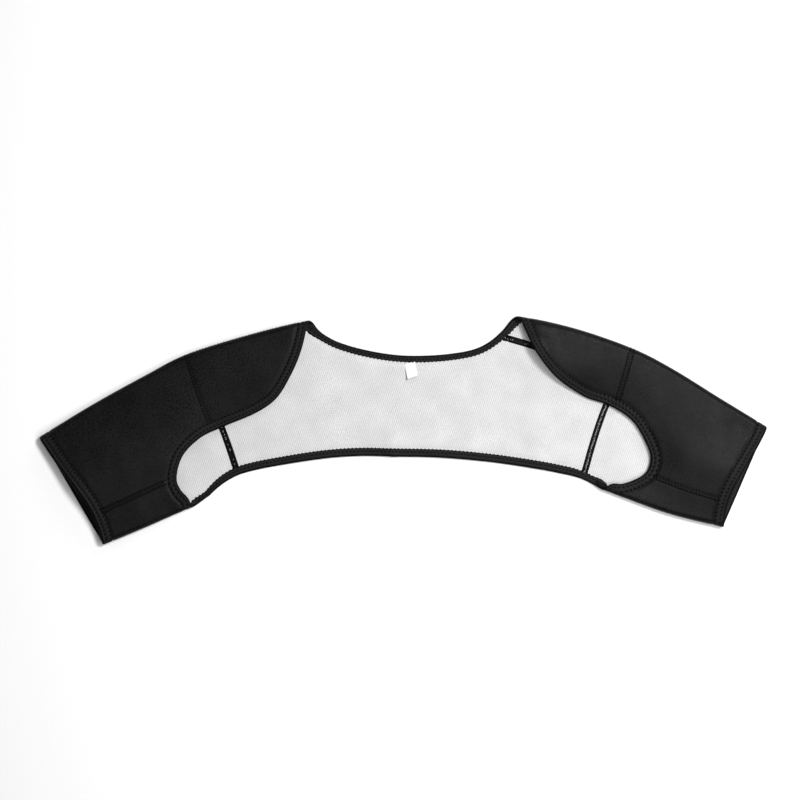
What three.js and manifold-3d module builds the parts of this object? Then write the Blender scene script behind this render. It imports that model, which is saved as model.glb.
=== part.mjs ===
// A double shoulder brace of neoprene, lying on its back with the front turned over at the shoulders.
// Millimetres, +X to the wearer's right hand as drawn, +Y towards the neck, +Z up from the surface it lies on.
// The cloth is one flattened tube from cuff to cuff. A section of it runs from the shoulder fold at the top
// to the underarm fold at the bottom, along the back ply or along the front ply, and one long opening is cut
// through the tube: the neck, both front edges and the hem.
import * as THREE from 'three';
import Module from 'manifold-3d';

const wasm = await Module();
wasm.setup();

// Driving dimensions
const SPAN = 820; // from one cuff's shoulder corner to the other's, as it lies
const DEPTH = 258; // from the shoulder points to the lowest corner of a cuff
const WALL = 3; // the laminate: knit face, foam and lining
const LINING = 0.7; // the loop knit lining
const PLY_GAP = 0.3; // between the foam and the lining
const FOLD_RADIUS = 5; // of the middle of the wall, where the cloth turns over
const LOFT = 16; // the clear height between the plies where a sleeve is fullest
const CUFF_SET_BACK = 8.8; // how far the front ply's cuff edge sits behind the back ply's
const BINDING_WIDTH = 9.5; // round the opening
const CUFF_BINDING_WIDTH = 11;
const BINDING_TAPE = 0.8; // thickness of the binding's tape
const BINDING_SLOT = 1.4; // what the foam is pinched to inside the binding, with its clearance
const SEAM_TAPE_WIDTH = 8;
const SEAM_TAPE = 0.6; // thickness of the seam's cover
const SEAM_SKEW = 5; // how far a sleeve seam leans out on the front ply and in on the back ply
const LABEL_X = 7.4; // where the middle of the label comes out from under the neck's binding
const LABEL_WIDTH = 12.2;
const LABEL_LENGTH = 17; // of what shows
const LABEL_THICKNESS = 0.8; // folded double
const LABEL_LEAN = 12; // degrees
const CLEARANCE = 0.3; // between pieces that touch
const SEAM_GAP = 0.5; // between two panels at a seam

const HALF_SPAN = SPAN / 2;
const HALF_DEPTH = DEPTH / 2;

// Sections from the left cuff to the right one. topX, topY, lowX and lowY place the shoulder fold and the
// underarm fold, as shares of half the span and half the depth. Between the sleeve seams the underarm fold
// is only a guide line below the hem. topFold and lowFold are shares of the fold radius. quarter, middle and
// threeQuarter are the clear height under the front ply on the way down the section, as shares of the loft.
const SECTIONS = [
  { at: 'left cuff', topX: -1, topY: -0.053, lowX: -0.825, lowY: -1,
    topFold: 1.1, lowFold: 1.1, quarter: 0.7, middle: 1, threeQuarter: 0.8 },
  { at: 'left arm', topX: -0.85, topY: 0.237, lowX: -0.712, lowY: -0.851,
    topFold: 1, lowFold: 1, quarter: 0.62, middle: 0.85, threeQuarter: 0.65 },
  { at: 'left armpit', topX: -0.704, topY: 0.493, lowX: -0.597, lowY: -0.693,
    topFold: 1, lowFold: 0.85, quarter: 0.48, middle: 0.5, threeQuarter: 0.36 },
  { at: 'left sleeve seam', topX: -0.597, topY: 0.666, lowX: -0.442, lowY: -0.513,
    topFold: 0.95, lowFold: 0.8, quarter: 0.34, middle: 0.22, threeQuarter: 0.2 },
  { at: 'left chest', topX: -0.428, topY: 0.835, lowX: -0.312, lowY: -0.439,
    topFold: 0.9, lowFold: 0.8, quarter: 0.28, middle: 0.17, threeQuarter: 0.17 },
  { at: 'left shoulder point', topX: -0.258, topY: 0.966, lowX: -0.194, lowY: -0.386,
    topFold: 0.85, lowFold: 0.8, quarter: 0.26, middle: 0.17, threeQuarter: 0.17 },
  { at: 'left neck', topX: -0.119, topY: 1.026, lowX: -0.086, lowY: -0.36,
    topFold: 0.9, lowFold: 0.8, quarter: 0.3, middle: 0.2, threeQuarter: 0.17 },
  { at: 'centre', topX: 0.022, topY: 1.044, lowX: 0.022, lowY: -0.355,
    topFold: 1, lowFold: 0.8, quarter: 0.4, middle: 0.3, threeQuarter: 0.2 },
  { at: 'right neck', topX: 0.162, topY: 1.035, lowX: 0.151, lowY: -0.364,
    topFold: 1.15, lowFold: 0.8, quarter: 0.6, middle: 0.4, threeQuarter: 0.25 },
  { at: 'right shoulder point', topX: 0.313, topY: 1.002, lowX: 0.289, lowY: -0.39,
    topFold: 1.25, lowFold: 0.8, quarter: 0.82, middle: 0.55, threeQuarter: 0.3 },
  { at: 'right chest', topX: 0.471, topY: 0.895, lowX: 0.422, lowY: -0.43,
    topFold: 1.1, lowFold: 0.8, quarter: 0.62, middle: 0.36, threeQuarter: 0.22 },
  { at: 'right sleeve seam', topX: 0.631, topY: 0.719, lowX: 0.491, lowY: -0.456,
    topFold: 1, lowFold: 0.8, quarter: 0.42, middle: 0.24, threeQuarter: 0.2 },
  { at: 'right armpit', topX: 0.742, topY: 0.539, lowX: 0.592, lowY: -0.57,
    topFold: 1, lowFold: 0.85, quarter: 0.5, middle: 0.5, threeQuarter: 0.36 },
  { at: 'right arm', topX: 0.869, topY: 0.289, lowX: 0.731, lowY: -0.728,
    topFold: 1, lowFold: 1, quarter: 0.62, middle: 0.85, threeQuarter: 0.65 },
  { at: 'right cuff', topX: 1, topY: 0.035, lowX: 0.88, lowY: -0.846,
    topFold: 1.1, lowFold: 1.1, quarter: 0.7, middle: 1, threeQuarter: 0.8 },
];
const STATION = Object.fromEntries(SECTIONS.map((row, index) => [row.at, index]));

// The opening's edge seen from above, all the way round from the middle of the neck. x and y are shares of
// half the span and half the depth. ply is 1 on the back and -1 on the front, and 0 where it turns over a fold.
const OPENING = [
  { x: 0.022, y: 0.652, ply: 1 }, // neck
  { x: -0.064, y: 0.678, ply: 1 },
  { x: -0.147, y: 0.738, ply: 1 },
  { x: -0.198, y: 0.8, ply: 1 },
  { x: -0.236, y: 0.886, ply: 1 },
  { x: -0.258, y: 0.966, ply: 0 }, // left shoulder point
  { x: -0.27, y: 0.84, ply: -1 },
  { x: -0.283, y: 0.683, ply: -1 },
  { x: -0.307, y: 0.501, ply: -1 },
  { x: -0.35, y: 0.281, ply: -1 },
  { x: -0.408, y: 0.154, ply: -1 },
  { x: -0.497, y: 0.035, ply: -1 },
  { x: -0.558, y: -0.061, ply: -1 },
  { x: -0.607, y: -0.224, ply: -1 },
  { x: -0.623, y: -0.425, ply: -1 },
  { x: -0.612, y: -0.518, ply: -1 },
  { x: -0.592, y: -0.59, ply: -1 },
  { x: -0.574, y: -0.655, ply: 0 }, // left armpit
  { x: -0.523, y: -0.532, ply: 1 }, // hem
  { x: -0.47, y: -0.41, ply: 1 },
  { x: -0.4, y: -0.338, ply: 1 },
  { x: -0.258, y: -0.259, ply: 1 },
  { x: -0.12, y: -0.221, ply: 1 },
  { x: -0.027, y: -0.226, ply: 1 },
  { x: 0.1, y: -0.235, ply: 1 },
  { x: 0.212, y: -0.264, ply: 1 },
  { x: 0.316, y: -0.307, ply: 1 },
  { x: 0.423, y: -0.366, ply: 1 },
  { x: 0.507, y: -0.441, ply: 1 },
  { x: 0.543, y: -0.486, ply: 0 }, // right armpit
  { x: 0.571, y: -0.469, ply: -1 },
  { x: 0.603, y: -0.466, ply: -1 },
  { x: 0.634, y: -0.434, ply: -1 },
  { x: 0.666, y: -0.373, ply: -1 },
  { x: 0.679, y: -0.298, ply: -1 },
  { x: 0.679, y: -0.197, ply: -1 },
  { x: 0.639, y: 0.054, ply: -1 },
  { x: 0.566, y: 0.222, ply: -1 },
  { x: 0.5, y: 0.297, ply: -1 },
  { x: 0.423, y: 0.46, ply: -1 },
  { x: 0.365, y: 0.682, ply: -1 },
  { x: 0.338, y: 0.856, ply: -1 },
  { x: 0.313, y: 1.002, ply: 0 }, // right shoulder point
  { x: 0.269, y: 0.856, ply: 1 },
  { x: 0.212, y: 0.729, ply: 1 },
  { x: 0.13, y: 0.67, ply: 1 },
];

// Each arm: its cuff's and its sleeve seam's section, the way from the cuff to the neck along the sections,
// and how far down the back ply the shoulder seam lies at the sleeve seam and at the neck, as a share.
const ARMS = [
  { name: 'left', cuff: STATION['left cuff'], seam: STATION['left sleeve seam'], inward: 1,
    shoulderSeam: { arm: 0.012, neck: 0.012 } },
  { name: 'right', cuff: STATION['right cuff'], seam: STATION['right sleeve seam'], inward: -1,
    shoulderSeam: { arm: 0.27, neck: 0.157 } },
];

// How finely the faces follow the forms
const TURN = 0.07; // the share of a section's way that each fold's quarter turn takes
const TURN_STEPS = 3;
const FRONT_STEPS = 7;
const BACK_STEPS = 3;
const SLEEVE_ROWS = 4;
const SHOULDER_SHARES = [0, 0.25, 0.5, 0.75, 1];
const NECK_STEPS = 8;
const FINEST = 0.17; // a bump that is left out
const EDGE_STEP = 22; // along a binding
const EDGE_TURN = 0.65; // radians that the wall may turn in one step along a binding
const EDGE_BEND = 0.35; // radians that a binding may bend in one step

const { lerp, clamp } = THREE.MathUtils;

// A smooth curve through equally spaced values, at a place given in steps.
function smooth(values, place, endSlope) {
  const i = Math.min(Math.max(Math.floor(place), 0), values.length - 2);
  const t = place - i;
  const slope = (k) => {
    if (k === 0) return endSlope ?? values[1] - values[0];
    if (k === values.length - 1) return endSlope ?? values[k] - values[k - 1];
    return (values[k + 1] - values[k - 1]) / 2;
  };
  const square = t * t;
  const cube = square * t;
  return values[i] * (2 * cube - 3 * square + 1) + slope(i) * (cube - 2 * square + t)
    + values[i + 1] * (3 * square - 2 * cube) + slope(i + 1) * (cube - square);
}

const columns = Object.fromEntries(
  Object.keys(SECTIONS[0]).slice(1).map((key) => [key, SECTIONS.map((row) => row[key])]));
const column = (key, u) => smooth(columns[key], u);

// The section at u: where its folds are, its width, and the radius of each fold.
function sectionAt(u) {
  const top = new THREE.Vector2(column('topX', u) * HALF_SPAN, column('topY', u) * HALF_DEPTH);
  const low = new THREE.Vector2(column('lowX', u) * HALF_SPAN, column('lowY', u) * HALF_DEPTH);
  const heights = ['quarter', 'middle', 'threeQuarter'].map((key) => 1.5 * WALL + column(key, u) * LOFT);
  const topRadius = column('topFold', u) * FOLD_RADIUS;
  const lowRadius = column('lowFold', u) * FOLD_RADIUS;
  return { top, low, heights, topRadius, lowRadius, width: top.distanceTo(low) };
}

// A point of the middle of the wall. u is the section and w the way round it: 0 at the shoulder fold,
// up to 1 down the back ply and down to -1 along the front ply, both at the underarm fold.
function middle(u, w) {
  const round = w < -1 ? w + 2 : w > 1 ? w - 2 : w;
  const way = Math.abs(round);
  const section = sectionAt(u);
  const { topRadius, lowRadius } = section;
  const flat = section.width - WALL - topRadius - lowRadius;
  const rests = WALL / 2;
  let across;
  let rise = 1; // how far the wall has turned away from the fold's mid height, 0 at the fold itself
  let radius = topRadius;
  let share = 0;
  if (way < TURN) {
    const turn = (Math.PI / 2) * (way / TURN);
    across = topRadius * (1 - Math.cos(turn));
    rise = Math.sin(turn);
  } else if (way > 1 - TURN) {
    const turn = (Math.PI / 2) * ((1 - way) / TURN);
    across = topRadius + flat + lowRadius * Math.cos(turn);
    rise = Math.sin(turn);
    radius = lowRadius;
    share = 1;
  } else {
    share = (way - TURN) / (1 - 2 * TURN);
    across = topRadius + flat * share;
    radius = lerp(topRadius, lowRadius, share);
  }
  const plan = section.top.clone().lerp(section.low, (WALL / 2 + across) / section.width);
  let height;
  if (round >= 0) {
    height = share > 0 && share < 1 ? rests : rests + radius * (1 - rise);
  } else if (share > 0 && share < 1) {
    const ends = [rests + 2 * topRadius, rests + 2 * lowRadius];
    height = smooth([ends[0], ...section.heights, ends[1]], 4 * share, 0);
  } else {
    height = rests + radius * (1 + rise);
  }
  return new THREE.Vector3(plan.x, plan.y, height);
}

const STEP_U = 1e-3;
const STEP_W = 1e-4;

// How the wall's middle moves with u and with w.
function slopes(u, w) {
  return {
    alongU: middle(u + STEP_U, w).sub(middle(u - STEP_U, w)).divideScalar(2 * STEP_U),
    alongW: middle(u, w + STEP_W).sub(middle(u, w - STEP_W)).divideScalar(2 * STEP_W),
  };
}

// The way out of the wall on its knit face
function faceNormal({ u, w }) {
  const { alongU, alongW } = slopes(u, w);
  return alongU.cross(alongW).normalize();
}

// A point of the wall, offset towards the knit face: WALL / 2 is the face and -WALL / 2 the lining's surface.
function wall(place, offset = 0) {
  return middle(place.u, place.w).addScaledVector(faceNormal(place), offset);
}

// The place reached by going a distance over the cloth in a direction.
const MARCH = 1;
function march(place, direction, distance) {
  let { u, w } = place;
  if (distance === 0) return { u, w };
  let heading = direction.clone().normalize().multiplyScalar(Math.sign(distance) || 1);
  const steps = Math.max(1, Math.ceil(Math.abs(distance) / MARCH));
  for (let i = 0; i < steps; i += 1) {
    const { alongU, alongW } = slopes(u, w);
    const [uu, uw, ww] = [alongU.dot(alongU), alongU.dot(alongW), alongW.dot(alongW)];
    const [hu, hw] = [heading.dot(alongU), heading.dot(alongW)];
    const det = uu * ww - uw * uw;
    const du = (hu * ww - hw * uw) / det;
    const dw = (hw * uu - hu * uw) / det;
    const onCloth = alongU.multiplyScalar(du).addScaledVector(alongW, dw);
    const wanted = Math.abs(distance) / steps;
    let scale = wanted / onCloth.length();
    const from = middle(u, w);
    scale *= wanted / middle(u + du * scale, w + dw * scale).distanceTo(from);
    heading = onCloth.normalize();
    u += du * scale;
    w += dw * scale;
  }
  return { u, w };
}

// The place on a ply that is seen at a point from above.
const LOCATE_STEP = 0.1;
function locate({ x, y, ply }) {
  const point = new THREE.Vector2(x * HALF_SPAN, y * HALF_DEPTH);
  const beside = (u) => {
    const { top, low } = sectionAt(u);
    return point.clone().sub(top).cross(low.sub(top));
  };
  const last = SECTIONS.length - 1;
  let from = 0;
  while (from < last && beside(from) * beside(from + LOCATE_STEP) > 0) from += LOCATE_STEP;
  let to = from + LOCATE_STEP;
  for (let i = 0; i < 40; i += 1) {
    const half = (from + to) / 2;
    if (beside(from) * beside(half) > 0) from = half;
    else to = half;
  }
  const section = sectionAt(from);
  const { topRadius, lowRadius } = section;
  const flat = section.width - WALL - topRadius - lowRadius;
  const across = point.distanceTo(section.top) - WALL / 2;
  const lastTurn = section.width - WALL - across;
  if (ply === 0) return { u: from, w: across < flat / 2 ? 0 : -1 };
  let way = TURN + (1 - 2 * TURN) * ((across - topRadius) / flat);
  if (across < topRadius) way = TURN * (Math.acos(clamp(1 - across / topRadius, -1, 1)) / (Math.PI / 2));
  if (lastTurn < lowRadius) way = 1 - TURN * (Math.acos(clamp(1 - lastTurn / lowRadius, -1, 1)) / (Math.PI / 2));
  return { u: from, w: ply * way };
}

// The opening's edge as one closed curve over (u, w), where w runs on below -1 into the back ply at the hem.
const W_SCALE = 3; // brings a step of w near a step of u in length
const [leftPointRow, leftPitRow, rightPitRow, rightPointRow] = OPENING.flatMap(
  (row, index) => (row.ply === 0 ? [index] : []));
const openingCurve = new THREE.CatmullRomCurve3(
  OPENING.map((row, index) => {
    const { u, w } = locate(row);
    const isHem = index > leftPitRow && index < rightPitRow;
    return new THREE.Vector3(u, (isHem ? w - 2 : w) * W_SCALE, 0);
  }),
  true,
);
const onOpening = (t) => {
  const point = openingCurve.getPoint(((t % 1) + 1) % 1);
  return { u: point.x, w: point.y / W_SCALE };
};
const tableShare = (index) => index / OPENING.length;

// Where the opening's edge first meets a line over (u, w) between two rows of its table.
function meet(isPast, fromRow, toRow) {
  let from = tableShare(fromRow);
  let to = tableShare(toRow);
  const start = isPast(onOpening(from));
  for (let i = 0; i < 40; i += 1) {
    const half = (from + to) / 2;
    if (isPast(onOpening(half)) === start) from = half;
    else to = half;
  }
  return from;
}

// A sleeve seam: it leans out over the front ply and in over the back ply, in straight lengths.
function seamPlace(arm, w) {
  const round = w < -1 ? w + 2 : w;
  const steps = round < 0 ? FRONT_STEPS : BACK_STEPS;
  const place = clamp(((Math.abs(round) - TURN) / (1 - 2 * TURN)) * steps, 0, steps);
  const bulge = (step) => Math.sin(Math.PI * (step / steps));
  const share = lerp(bulge(Math.floor(place)), bulge(Math.ceil(place)), place % 1);
  const lean = Math.sign(round) * arm.inward * SEAM_SKEW * share;
  return { u: arm.seam + lean / slopes(arm.seam, round).alongU.length(), w };
}
const towardsNeck = (arm, place, distance) => ({
  u: place.u + (arm.inward * distance) / slopes(place.u, place.w).alongU.length(),
  w: place.w,
});

// A shoulder seam, from the sleeve seam at 0 to the neck at 1.
function shoulderSeamPlace(arm, share) {
  const w = lerp(arm.shoulderSeam.arm, arm.shoulderSeam.neck, share);
  return { u: lerp(seamPlace(arm, w).u, arm.seamEndU, share), w };
}

// A cuff's edge: straight on the back ply, set back in a curve on the front ply.
function cuffPlace(arm, w) {
  const round = w < -1 ? w + 2 : w;
  const curve = round < 0 ? Math.sin(Math.PI * (-round) ** 1.65) ** 1.2 : 0;
  return towardsNeck(arm, { u: arm.cuff, w }, CUFF_SET_BACK * curve);
}

// Where the seams run out into the opening's edge
const hemMiddle = Math.round((leftPitRow + rightPitRow) / 2);
const rowsOf = {
  left: { point: leftPointRow, pit: leftPitRow, neckMiddle: 0 },
  right: { point: rightPointRow, pit: rightPitRow, neckMiddle: OPENING.length },
};
for (const arm of ARMS) {
  const rows = rowsOf[arm.name];
  const pastSeam = ({ u, w }) => (u - seamPlace(arm, w).u) * arm.inward > 0;
  arm.frontJoin = meet(pastSeam, rows.pit, rows.point);
  arm.hemJoin = meet(pastSeam, rows.pit, hemMiddle);
  arm.neckJoin = meet(({ w }) => w > arm.shoulderSeam.neck, rows.point, rows.neckMiddle);
  arm.seamEndU = onOpening(arm.neckJoin).u;
  arm.pit = tableShare(rows.pit);
}

// Solids

// A closed geometry from a grid of places: two skins at the low and high offsets, with walls round the rim.
function sheet(grid, low, high, isTube) {
  const rows = grid.length;
  const wide = grid[0].length;
  const positions = [];
  for (const offset of [low, high]) {
    for (const row of grid) for (const place of row) positions.push(...wall(place, offset).toArray());
  }
  const index = [];
  const at = (skin, i, j) => skin * rows * wide + i * wide + (j % wide);
  const quad = (a, b, c, d) => index.push(a, b, c, a, c, d);
  const spans = isTube ? wide : wide - 1;
  for (let i = 0; i < rows - 1; i += 1) {
    for (let j = 0; j < spans; j += 1) {
      quad(at(0, i, j), at(0, i + 1, j), at(0, i + 1, j + 1), at(0, i, j + 1));
      quad(at(1, i, j), at(1, i, j + 1), at(1, i + 1, j + 1), at(1, i + 1, j));
    }
    if (!isTube) {
      quad(at(0, i, 0), at(1, i, 0), at(1, i + 1, 0), at(0, i + 1, 0));
      quad(at(0, i, wide - 1), at(0, i + 1, wide - 1), at(1, i + 1, wide - 1), at(1, i, wide - 1));
    }
  }
  for (let j = 0; j < spans; j += 1) {
    quad(at(0, 0, j), at(0, 0, j + 1), at(1, 0, j + 1), at(1, 0, j));
    quad(at(0, rows - 1, j), at(1, rows - 1, j), at(1, rows - 1, j + 1), at(0, rows - 1, j + 1));
  }
  return facingOut(positions, index);
}

// A closed geometry swept along a path of places. The profile holds points of [distance to the path's left
// over the cloth, offset from the wall's middle].
function ribbon(path, profile, isLoop) {
  const positions = [];
  path.forEach((place, i) => {
    const last = path.length - 1;
    const before = isLoop ? path.at(i - 1) : path[Math.max(i - 1, 0)];
    const after = isLoop ? path[(i + 1) % path.length] : path[Math.min(i + 1, last)];
    const forward = wall(after).sub(wall(before));
    const { alongU, alongW } = slopes(place.u, place.w);
    const left = alongW.cross(alongU).cross(forward);
    for (const [distance, offset] of profile) {
      positions.push(...wall(march(place, left, distance), offset).toArray());
    }
  });
  const ring = profile.length;
  const index = [];
  const at = (i, j) => (i % path.length) * ring + (j % ring);
  const spans = isLoop ? path.length : path.length - 1;
  for (let i = 0; i < spans; i += 1) {
    for (let j = 0; j < ring; j += 1) {
      index.push(at(i, j), at(i + 1, j), at(i + 1, j + 1), at(i, j), at(i + 1, j + 1), at(i, j + 1));
    }
  }
  if (!isLoop) {
    const caps = THREE.ShapeUtils.triangulateShape(profile.map(([x, y]) => new THREE.Vector2(x, y)), []);
    const isClockwise = THREE.ShapeUtils.isClockWise(profile.map(([x, y]) => new THREE.Vector2(x, y)));
    for (const [a, b, c] of caps) {
      const end = path.length - 1;
      const start = isClockwise ? [a, b, c] : [a, c, b];
      index.push(...start.map((j) => at(0, j)));
      index.push(...start.reverse().map((j) => at(end, j)));
    }
  }
  return facingOut(positions, index);
}

// The geometry, with its faces turned round if they point in.
function facingOut(positions, index) {
  let volume = 0;
  const corner = (i) => new THREE.Vector3().fromArray(positions, 3 * index[i]);
  for (let i = 0; i < index.length; i += 3) volume += corner(i).dot(corner(i + 1).cross(corner(i + 2)));
  if (volume < 0) {
    for (let i = 0; i < index.length; i += 3) [index[i + 1], index[i + 2]] = [index[i + 2], index[i + 1]];
  }
  return new THREE.BufferGeometry()
    .setAttribute('position', new THREE.Float32BufferAttribute(positions, 3))
    .setIndex(index);
}

function toSolid(geometry) {
  return new wasm.Manifold(new wasm.Mesh({
    numProp: 3,
    vertProperties: geometry.getAttribute('position').array,
    triVerts: new Uint32Array(geometry.getIndex().array),
  }));
}

// The main body of a cut solid, without the crumbs at its edges.
function largest(solid) {
  return solid.simplify(FINEST).decompose().sort((a, b) => b.volume() - a.volume())[0];
}

function toGeometry(solid) {
  const mesh = solid.getMesh();
  return new THREE.BufferGeometry()
    .setAttribute('position', new THREE.BufferAttribute(mesh.vertProperties, 3))
    .setIndex(new THREE.BufferAttribute(mesh.triVerts, 1));
}

// Paths
const range = (count, value) => Array.from({ length: count + 1 }, (_, i) => value(i / count));
const turnWays = range(TURN_STEPS, (t) => TURN * t);
const frontWays = range(FRONT_STEPS, (t) => lerp(TURN, 1 - TURN, t));
const backWays = range(BACK_STEPS, (t) => lerp(TURN, 1 - TURN, t));

// Every way round a sleeve, from the underarm fold along the front ply and back along the back ply.
const aroundWays = [...new Set([
  ...turnWays.map((way) => -(1 - way)),
  ...frontWays.map((way) => -way).reverse(),
  ...turnWays.map((way) => -way).reverse(),
  ...turnWays,
  ...backWays,
  ...turnWays.map((way) => 1 - way).reverse(),
].map((w) => Number(w.toFixed(6)) + 0))].filter((w) => w < 1);

// The opening's edge in steps that shorten where the cloth turns over and where the edge bends.
const FINE_STEPS = 1600;
function openingSteps() {
  const fine = range(FINE_STEPS, (t) => ({ t, at: wall(onOpening(t)), up: faceNormal(onOpening(t)) }));
  const costs = [0];
  for (let i = 1; i <= FINE_STEPS; i += 1) {
    const [before, here] = [fine[i - 1], fine[i]];
    const next = fine[i % FINE_STEPS + 1];
    const step = here.at.clone().sub(before.at);
    const bend = step.angleTo(next.at.clone().sub(here.at));
    costs.push(costs.at(-1) + Math.max(step.length() / EDGE_STEP, before.up.angleTo(here.up) / EDGE_TURN,
      bend / EDGE_BEND));
  }
  const count = Math.ceil(costs.at(-1));
  const path = [];
  for (let k = 0, i = 0; k < count; k += 1) {
    while (costs[i] < (k * costs.at(-1)) / count) i += 1;
    path.push(onOpening(fine[i].t));
  }
  return path;
}
const openingPath = openingSteps();
const cuffPath = (arm) => {
  const path = aroundWays.map((w) => cuffPlace(arm, w));
  return arm.inward > 0 ? path : path.reverse();
};

// The section of a tape folded over an edge at 0, with the foam pinched in its slot. It is divided across its
// width so that it can follow the cloth round a fold.
const slot = BINDING_SLOT / 2;
const ACROSS = [0, 1 / 3, 2 / 3, 1];
function bindingProfile(width) {
  const outside = ACROSS.map((share) => [share * width, slot + BINDING_TAPE]);
  const inside = ACROSS.map((share) => [Math.max(BINDING_TAPE, share * width), slot]).reverse();
  const mirrored = [...outside, ...inside].map(([distance, offset]) => [distance, -offset]).reverse();
  return [...outside, ...inside, ...mirrored];
}

// What the panels leave free for a binding, with clearance on every side of its tape. It reaches a little
// beyond the edge, where the panels' straight faces may stand out.
function roomProfile(width) {
  const beyond = -width / 3;
  const top = slot + BINDING_TAPE + 1.5 * CLEARANCE;
  const outside = [beyond, ...ACROSS.map((share) => share * width), width + CLEARANCE].map((at) => [at, top]);
  const inner = [...ACROSS.map((share) => Math.max(BINDING_TAPE + CLEARANCE, share * width)), width + CLEARANCE];
  const inside = inner.map((at) => [at, slot - CLEARANCE]).reverse();
  const mirrored = [...outside, ...inside].map(([distance, offset]) => [distance, -offset]).reverse();
  return [...outside, ...inside, ...mirrored];
}

const openingRoom = toSolid(ribbon(openingPath, roomProfile(BINDING_WIDTH), true));
const cuffRoom = Object.fromEntries(ARMS.map((arm) => [
  arm.name, toSolid(ribbon(cuffPath(arm), roomProfile(CUFF_BINDING_WIDTH), true))]));

// The sleeve's edge towards the neck, as places on the opening's edge and the seam at one way round.
function sleeveEnd(arm, w) {
  const front = onOpening(arm.frontJoin).w;
  const hem = onOpening(arm.hemJoin).w + 2;
  if (w >= front && w <= hem) return towardsNeck(arm, seamPlace(arm, w), -SEAM_GAP / 2);
  if (w < front) return { u: edgeAt(w, arm.frontJoin, arm.pit).u, w };
  return { u: edgeAt(w - 2, arm.hemJoin, arm.pit).u, w };
}

function sleeveGrid(arm) {
  const joins = [onOpening(arm.frontJoin).w, onOpening(arm.hemJoin).w + 2];
  const free = aroundWays.filter((w) => joins.every((join) => Math.abs(w - join) > 0.02));
  const ways = [...free, ...joins].sort((a, b) => a - b);
  return range(SLEEVE_ROWS, (t) => ways.map((w) => ({
    u: lerp(cuffPlace(arm, w).u, sleeveEnd(arm, w).u, t),
    w,
  })));
}

// The opening's edge at a way round, between two of its own shares.
function edgeAt(wanted, from, to) {
  const start = onOpening(from).w > wanted;
  let [near, far] = [from, to];
  for (let i = 0; i < 40; i += 1) {
    const half = (near + far) / 2;
    if (onOpening(half).w > wanted === start) near = half;
    else far = half;
  }
  return onOpening(near);
}

// A shoulder panel: each row runs from the sleeve seam to the opening's edge, and the rows climb from where
// the two meet, over the fold, to the shoulder seam.
function shoulderGrid(arm) {
  const bottom = onOpening(arm.frontJoin).w;
  const { neck } = arm.shoulderSeam;
  const ways = [bottom + 0.012, ...aroundWays.filter((w) => w > bottom + 0.03 && w < neck - 0.02)];
  const rows = ways.map((w) => {
    const from = towardsNeck(arm, seamPlace(arm, w), SEAM_GAP / 2);
    const to = edgeAt(w, arm.frontJoin, arm.neckJoin);
    return SHOULDER_SHARES.map((t) => ({ u: lerp(from.u, to.u, t), w }));
  });
  const top = SHOULDER_SHARES.map((t) => {
    const place = shoulderSeamPlace(arm, t);
    const inset = march(place, slopes(place.u, place.w).alongW, -SEAM_GAP / 2);
    return t === 0 ? towardsNeck(arm, inset, SEAM_GAP / 2) : inset;
  });
  return [...rows, top];
}

// The back panel: each column runs from the hem up to a shoulder seam or the neck, with extra steps where
// it turns into a fold at either end.
function backGrid() {
  const [left, right] = ARMS;
  const seamShares = [0, 0.1, 0.3, 0.5, 0.7, 0.88];
  const upper = [
    ...seamShares.map((t) => shoulderSeamPlace(left, t)),
    ...range(NECK_STEPS, (t) => onOpening(lerp(left.neckJoin, right.neckJoin - 1, t))),
    ...seamShares.map((t) => shoulderSeamPlace(right, t)).reverse(),
  ];
  const [first, last] = [upper[0].u, upper.at(-1).u];
  return upper.map((top, k) => {
    const t = (top.u - first) / (last - first);
    const hem = onOpening(lerp(left.hemJoin, right.hemJoin, t));
    const low = hem.w + 2;
    const turned = Math.max(TURN, top.w + 0.02);
    const lowTurned = Math.min(1 - TURN, low - 0.02);
    const isSide = k === 0 || k === upper.length - 1;
    const between = isSide
      ? backWays.filter((way) => way > turned + 0.01 && way < lowTurned - 0.01).reverse()
      : range(BACK_STEPS, (step) => lerp(lowTurned, turned, step)).slice(1, -1);
    const ways = [
      ...range(TURN_STEPS, (step) => lerp(low, lowTurned, step)),
      ...between,
      ...range(TURN_STEPS, (step) => lerp(turned, top.w, step)),
    ];
    return ways.map((w, j) => {
      const share = (w - low) / (top.w - low);
      const bow = ARMS.map((arm) => {
        const straight = lerp(seamPlace(arm, low).u, seamPlace(arm, top.w).u, share);
        return seamPlace(arm, w).u - straight;
      });
      const place = { u: lerp(hem.u, top.u, share) + lerp(bow[0], bow[1], t), w };
      const isSeam = k < seamShares.length || k >= upper.length - seamShares.length;
      const atTop = j === ways.length - 1 && isSeam;
      const inset = atTop ? march(place, slopes(place.u, place.w).alongW, SEAM_GAP / 2) : place;
      if (k === 0) return towardsNeck(left, inset, SEAM_GAP / 2);
      if (k === upper.length - 1) return towardsNeck(right, inset, SEAM_GAP / 2);
      return inset;
    });
  });
}

// Materials
const knit = new THREE.MeshStandardMaterial({ color: 0x1c1c1d, roughness: 0.85, metalness: 0 });
const liningKnit = new THREE.MeshStandardMaterial({ color: 0xd4d5d4, roughness: 0.9, metalness: 0 });
const bindingTape = new THREE.MeshStandardMaterial({ color: 0x141415, roughness: 0.7, metalness: 0 });
const seamThread = new THREE.MeshStandardMaterial({ color: 0x0f0f10, roughness: 0.6, metalness: 0 });
const labelSatin = new THREE.MeshStandardMaterial({ color: 0xf4f4f2, roughness: 0.5, metalness: 0 });

const brace = new THREE.Group();
function add(name, geometry, material) {
  const mesh = new THREE.Mesh(geometry, material);
  mesh.name = name;
  brace.add(mesh);
}

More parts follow.
